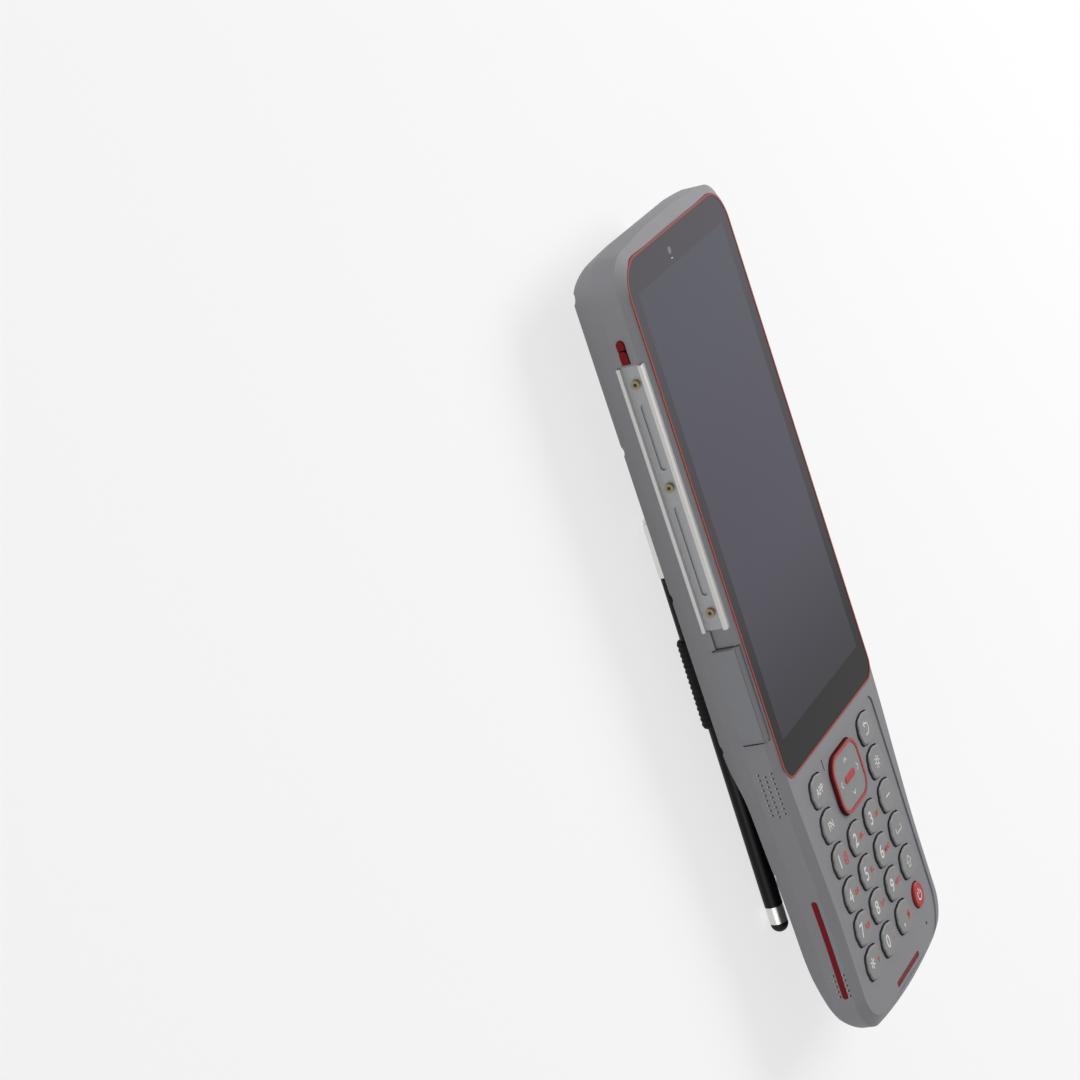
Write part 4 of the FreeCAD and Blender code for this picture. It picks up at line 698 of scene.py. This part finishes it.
def makeRailScrewHeads():
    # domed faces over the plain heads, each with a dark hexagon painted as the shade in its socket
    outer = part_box("rail_screws")[0].x + 0.01 * mm
    points = [vert.co.copy() for vert in nodes["rail_screws"].data.vertices if vert.co.x < outer]
    reach = details["screwReach"]
    groups = []
    for y in sorted({round(point.y / mm) for point in points}):
        if not groups or y - groups[-1][-1] > 2 * reach:
            groups.append([y])
        else:
            groups[-1].append(y)
    shape = bmesh.new()
    sockets = bmesh.new()
    turn = Matrix.Rotation(math.radians(-90), 4, "Y")
    for group in groups:
        near = [point for point in points if group[0] - reach <= point.y / mm <= group[-1] + reach]
        centre = sum(near, Vector()) / len(near)
        radius = max((point - centre).length for point in near)
        before = len(shape.verts)
        made = bmesh.ops.create_circle(shape, segments=details["domeSegments"], radius=radius, cap_ends=True)
        face = made["verts"][0].link_faces[0]
        for inset, share in details["domeSteps"]:
            bmesh.ops.inset_region(shape, faces=[face], thickness=inset * mm)
            rise = Vector((0, 0, share * details["domeRise"] * mm))
            bmesh.ops.translate(shape, verts=list(face.verts), vec=rise)
        dome = list(shape.verts)[before:]
        bmesh.ops.transform(shape, verts=dome, matrix=Matrix.Translation(centre) @ turn)
        rise = Vector((-(details["domeRise"] + details["socketLift"]) * mm, 0, 0))
        # the socket is a flat dark hexagon, painted shade
        bmesh.ops.create_circle(sockets, segments=6, radius=details["socketRadius"] * mm, cap_ends=True,
                                matrix=Matrix.Translation(centre + rise) @ turn)
    dress(finishMesh(shape, "rail_screw_domes", True), finishes["brass"], "housing")
    dress(finishMesh(sockets, "rail_screw_socket_shade"), finishes["hole"], "housing")
    print("side details made")


# hand strap
strap = {
    "rim": 1.4, "rimRise": 1.15, "corner": 11.0, "grid": (46, 110), "puffRun": 5.0,
    "crease": 0.22, "creaseWide": (0.09, 0.05, 3.0), "creaseFine": (0.25, 0.16, 8.0), "creaseShift": 40,
    "slack": 1.45, "pressure": 12.0, "clothMass": 0.3, "clothFrames": 20, "swellLimit": 0.35,
    "stitchInset": 2.6, "grooveWidth": 0.8, "grooveDepth": 0.3,
    "stitchLength": 2.0, "stitchGap": 1.0, "stitchHalf": 0.18, "stitchDip": 0.05,
    "webThick": 1.3, "webMiddle": 0.7, "webEdge": 0.02, "webSoft": 0.18, "webStitchRows": (1.6, 3.6),
    "eyeRadius": 2.73, "eyeGap": 0.03, "eyeTurn": 300, "eyeSteps": 16,
}


def padPoint(u, v, halfX, halfY, corner):
    # a place on a square grid carried to a rounded rectangle, with its distance from the edge
    x, y = abs(u) * halfX, abs(v) * halfY
    overX, overY = x - (halfX - corner), y - (halfY - corner)
    if overX > 0 and overY > 0:
        reach = max(overX, overY)
        far = math.hypot(overX, overY)
        overX, overY = overX * reach / far, overY * reach / far
        x, y = halfX - corner + overX, halfY - corner + overY
        edge = corner - reach
    else:
        edge = min(halfX - x, halfY - y)
    return math.copysign(x, u), math.copysign(y, v), edge


def padHeight(edge, x, y):
    # bound rim, stitched groove, then the padded middle with slight creases
    if edge < strap["rim"]:
        return strap["rimRise"] * math.sqrt(max(0.0, 1 - (1 - edge / strap["rim"]) ** 2))
    groove = max(0.0, 1 - abs(edge - strap["stitchInset"]) / strap["grooveWidth"])
    share = min(1.0, max(0.0, (edge - strap["stitchInset"]) / strap["puffRun"]))
    puff = (strap["slack"] - strap["rimRise"]) * (3 * share ** 2 - 2 * share ** 3)
    wide, fine = (noise.noise(Vector((x * alongX, y * alongY, layer)))
                  for alongX, alongY, layer in (strap["creaseWide"], strap["creaseFine"]))
    crease = wide + 0.5 * fine
    sag = strap["crease"] * share * (0.8 - crease)
    return strap["rimRise"] + puff - strap["grooveDepth"] * groove - max(0.0, sag)


def swell(piece, held):
    # the filling pushes the cloth out from its stitched edge
    seam = piece.vertex_groups.new(name="seam")
    seam.add(held, 1.0, "REPLACE")
    cloth = piece.modifiers.new("swell", "CLOTH")
    cloth.settings.vertex_group_mass = "seam"
    cloth.settings.use_pressure = True
    cloth.settings.uniform_pressure_force = strap["pressure"]
    cloth.settings.effector_weights.gravity = 0.0
    cloth.settings.mass = strap["clothMass"]
    cloth.settings.quality = 6
    scene = bpy.context.scene
    for step in range(1, strap["clothFrames"] + 1):
        scene.frame_set(step)
    moved = piece.evaluated_get(bpy.context.evaluated_depsgraph_get()).data
    steps = [new.co - old.co for new, old in zip(moved.vertices, piece.data.vertices)]
    piece.modifiers.remove(cloth)
    piece.vertex_groups.remove(seam)
    scene.frame_set(1)
    limit = strap["swellLimit"] * mm
    for vert, step in zip(piece.data.vertices, steps):
        vert.co += step * min(1.0, limit / max(step.length, 1e-9))
    print("pad swelled by up to", round(max(step.length for step in steps) / mm, 3), "mm")


def makePad():
    low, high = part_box("hand_strap_pad")
    middle = (low + high) / 2
    halfX, halfY = ((high - low) / 2 / mm)[:2]
    columns, rows = strap["grid"]
    shape = bmesh.new()
    for side in (1, -1):
        made = bmesh.ops.create_grid(shape, x_segments=columns, y_segments=rows, size=1.0)
        for vert in made["verts"]:
            x, y, edge = padPoint(vert.co.x, vert.co.y, halfX, halfY, strap["corner"])
            height = side * padHeight(edge, x, y + strap["creaseShift"] * side)
            vert.co = middle + Vector((x, y, height)) * mm
    bmesh.ops.remove_doubles(shape, verts=shape.verts, dist=0.01 * mm)
    bmesh.ops.recalc_face_normals(shape, faces=shape.faces)
    seamHeight = strap["rimRise"] * mm * 1.02
    held = [index for index, vert in enumerate(shape.verts) if abs(vert.co.z - middle.z) < seamHeight]
    piece = finishMesh(shape, "strap_pad_cover", True)
    swell(piece, held)
    dress(piece, finishes["padCloth"], "housing")
    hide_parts("hand_strap_pad")
    sewPad(middle, halfX, halfY)


def sewPad(middle, halfX, halfY):
    # stitches round the rim, on the outer face
    inset = strap["stitchInset"]
    corner = strap["corner"] - inset
    straightX, straightY = halfX - strap["corner"], halfY - strap["corner"]
    quarter = math.pi / 2 * corner
    runs = [2 * straightY, quarter, 2 * straightX, quarter] * 2
    total = sum(runs)
    count = round(total / (strap["stitchLength"] + strap["stitchGap"]))
    depth = strap["rimRise"] - strap["grooveDepth"] + strap["stitchHalf"] * 0.6
    stitches = bmesh.new()
    for index in range(count):
        far = total * index / count
        place, along = walkRim(far, runs, straightX, straightY, halfX - inset, halfY - inset, corner)
        spot = middle + Vector((*place, -depth)) * mm
        addStitch(stitches, spot, Vector((*along, 0)))
    dress(finishMesh(stitches, "pad_stitches", True), finishes["thread"], "housing")


def walkRim(far, runs, straightX, straightY, outX, outY, corner):
    # a point and its direction on a rounded rectangle, far millimetres from the start
    starts = [((outX, -straightY), 90), ((straightX, straightY), 0), ((straightX, outY), 180),
              ((-straightX, straightY), 90), ((-outX, straightY), 270), ((-straightX, -straightY), 180),
              ((-straightX, -outY), 0), ((straightX, -straightY), 270)]
    for index, run in enumerate(runs):
        if far <= run or index == len(runs) - 1:
            break
        far -= run
    (x, y), heading = starts[index]
    angle = math.radians(heading)
    if index % 2 == 0:
        along = (math.cos(angle), math.sin(angle))
        return (x + along[0] * far, y + along[1] * far), along
    angle += far / corner
    return (x + corner * math.cos(angle), y + corner * math.sin(angle)), (-math.sin(angle), math.cos(angle))


def addStitch(shape, place, along):
    turn = along.to_track_quat("Z", "Y").to_matrix().to_4x4()
    half = strap["stitchHalf"] * mm
    before = len(shape.verts)
    bmesh.ops.create_cone(shape, cap_ends=True, segments=6, radius1=half, radius2=half,
                          depth=strap["stitchLength"] * mm, matrix=Matrix.Translation(place) @ turn)
    for vert in list(shape.verts)[before:]:
        vert.co.z += strap["stitchDip"] * mm


def makeWebbing(name, side):
    # flat webbing from the pad, round the anchor's bar and back on itself
    node = "strap_webbing_" + name
    low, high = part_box(node)
    half = (high.x - low.x) / 2
    thick = strap["webThick"] * mm
    reach = strap["eyeRadius"] * mm
    barZ = high.z - reach
    barY = (high.y - reach) if side > 0 else (low.y + reach)
    padY = low.y if side > 0 else high.y
    webZ = low.z + strap["webMiddle"] * mm
    middle = reach - strap["eyeGap"] * mm - thick / 2
    span = side * (barY - padY)
    drop = barZ - webZ
    lean = math.atan2(drop, span) - math.asin(middle / math.hypot(span, drop))
    points = [(padY, webZ)]
    for step in range(strap["eyeSteps"] + 1):
        angle = lean - math.pi / 2 + math.radians(strap["eyeTurn"]) * step / strap["eyeSteps"]
        points.append((barY + side * middle * math.cos(angle), barZ + middle * math.sin(angle)))
    shape = bmesh.new()
    edge = strap["webEdge"] * mm
    verts = [shape.verts.new((-half + edge, y, z)) for y, z in points]
    edges = [shape.edges.new(pair) for pair in zip(verts, verts[1:])]
    made = bmesh.ops.extrude_edge_only(shape, edges=edges)
    moved = [item for item in made["geom"] if isinstance(item, bmesh.types.BMVert)]
    bmesh.ops.translate(shape, verts=moved, vec=(2 * half - 2 * edge, 0, 0))
    bmesh.ops.recalc_face_normals(shape, faces=shape.faces)
    piece = finishMesh(shape, "web_" + name, True)
    thicken = piece.modifiers.new("thick", "SOLIDIFY")
    thicken.thickness = thick
    thicken.offset = 0.0
    soften = piece.modifiers.new("soft", "BEVEL")
    soften.width = strap["webSoft"] * mm
    soften.segments = 2
    dress(piece, finishes["web"], "housing")
    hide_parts(node)

    # rows of stitches where the webbing leaves the pad
    stitches = bmesh.new()
    pitch = (strap["stitchLength"] + strap["stitchGap"]) * mm
    count = int(2 * half / pitch)
    for away in strap["webStitchRows"]:
        y = padY + side * away * mm
        z = webZ + away * mm * math.tan(lean) - thick / 2 / math.cos(lean)
        for index in range(count):
            x = (index + 0.5 - count / 2) * pitch
            addStitch(stitches, Vector((x, y, z)), Vector((1, 0, 0)))
    stitching = finishMesh(stitches, "web_stitches_" + name, True)
    dress(stitching, finishes["thread"], "housing")


# the stylus's elastic loop
loop = {
    "bore": 2.63, "wall": 1.18, "ribs": 16, "ribSteps": 4, "ribDepth": 0.3, "segments": 40, "endGap": 0.15,
    "tabThick": 0.9, "tabGap": 0.02, "tabCorner": 0.3, "tabLift": 0.5,
}


def ribbedSleeve(length):
    # bore and ribbed outside as distances along the sleeve and from its axis, in millimetres
    profile = [(0.0, loop["bore"])]
    steps = loop["ribs"] * loop["ribSteps"]
    for step in range(steps + 1):
        share = step / steps
        ridge = 0.5 - 0.5 * math.cos(2 * math.pi * loop["ribs"] * share)
        radius = loop["bore"] + loop["wall"] - loop["ribDepth"] * (1 - ridge)
        profile.append((length * share, radius))
    return profile + [(length, loop["bore"])]


def makeLoop():
    low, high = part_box("stylus_loop")
    capLow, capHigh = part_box("stylus_cap")
    tipLow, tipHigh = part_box("stylus_tip")
    start = (capLow + capHigh) / 2
    end = (tipLow + tipHigh) / 2
    axis = (start - end).normalized()
    low.y += loop["endGap"] * mm
    high.y -= loop["endGap"] * mm
    bottom = start + axis * ((low.y - start.y) / axis.y)
    length = (high.y - low.y) / axis.y
    shape = bmesh.new()
    verts = [shape.verts.new((radius * mm, 0, along * mm)) for along, radius in ribbedSleeve(length / mm)]
    edges = [shape.edges.new(pair) for pair in zip(verts, verts[1:] + verts[:1])]
    bmesh.ops.spin(shape, geom=verts + edges, cent=(0, 0, 0), axis=(0, 0, 1), angle=2 * math.pi,
                   steps=loop["segments"], use_merge=True)
    bmesh.ops.remove_doubles(shape, verts=shape.verts, dist=0.001 * mm)
    bmesh.ops.recalc_face_normals(shape, faces=shape.faces)
    turn = axis.to_track_quat("Z", "Y").to_matrix().to_4x4()
    bmesh.ops.transform(shape, verts=shape.verts, matrix=Matrix.Translation(bottom) @ turn)

    # the flat tab that sews the sleeve to the pad
    tab = bmesh.ops.create_cube(shape, size=1.0)["verts"]
    left = start.x + (loop["bore"] + loop["wall"] * 0.5) * mm
    size = (high.x - left - loop["tabGap"] * mm, high.y - low.y, loop["tabThick"] * mm)
    bmesh.ops.scale(shape, verts=tab, vec=size)
    sharp = list({edge for vert in tab for edge in vert.link_edges})
    rounded = bmesh.ops.bevel(shape, geom=sharp, offset=loop["tabCorner"] * mm, segments=3, affect="EDGES",
                              profile=0.5, material=-1)
    tab = list({vert for face in rounded["faces"] for vert in face.verts})
    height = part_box("hand_strap_pad")[1].z + loop["tabLift"] * mm
    bmesh.ops.translate(shape, verts=tab, vec=((high.x + left) / 2, (low.y + high.y) / 2, height))
    piece = finishMesh(shape, "stylus_loop_elastic", True)
    dress(piece, finishes["elastic"], "housing")
    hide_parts("stylus_loop")


setUpStudio()
makeFloor()
print("studio set")
makeFinishes()
paintNodes()
print("finishes on")
printKeys()
printSymbols()
printArrows()
makeCentreBar()
makeDots()
makeGlassMarks()
makeRailScrewHeads()
makePad()
makeWebbing("upper", 1)
makeWebbing("lower", -1)
makeLoop()
print("strap and stylus loop made")
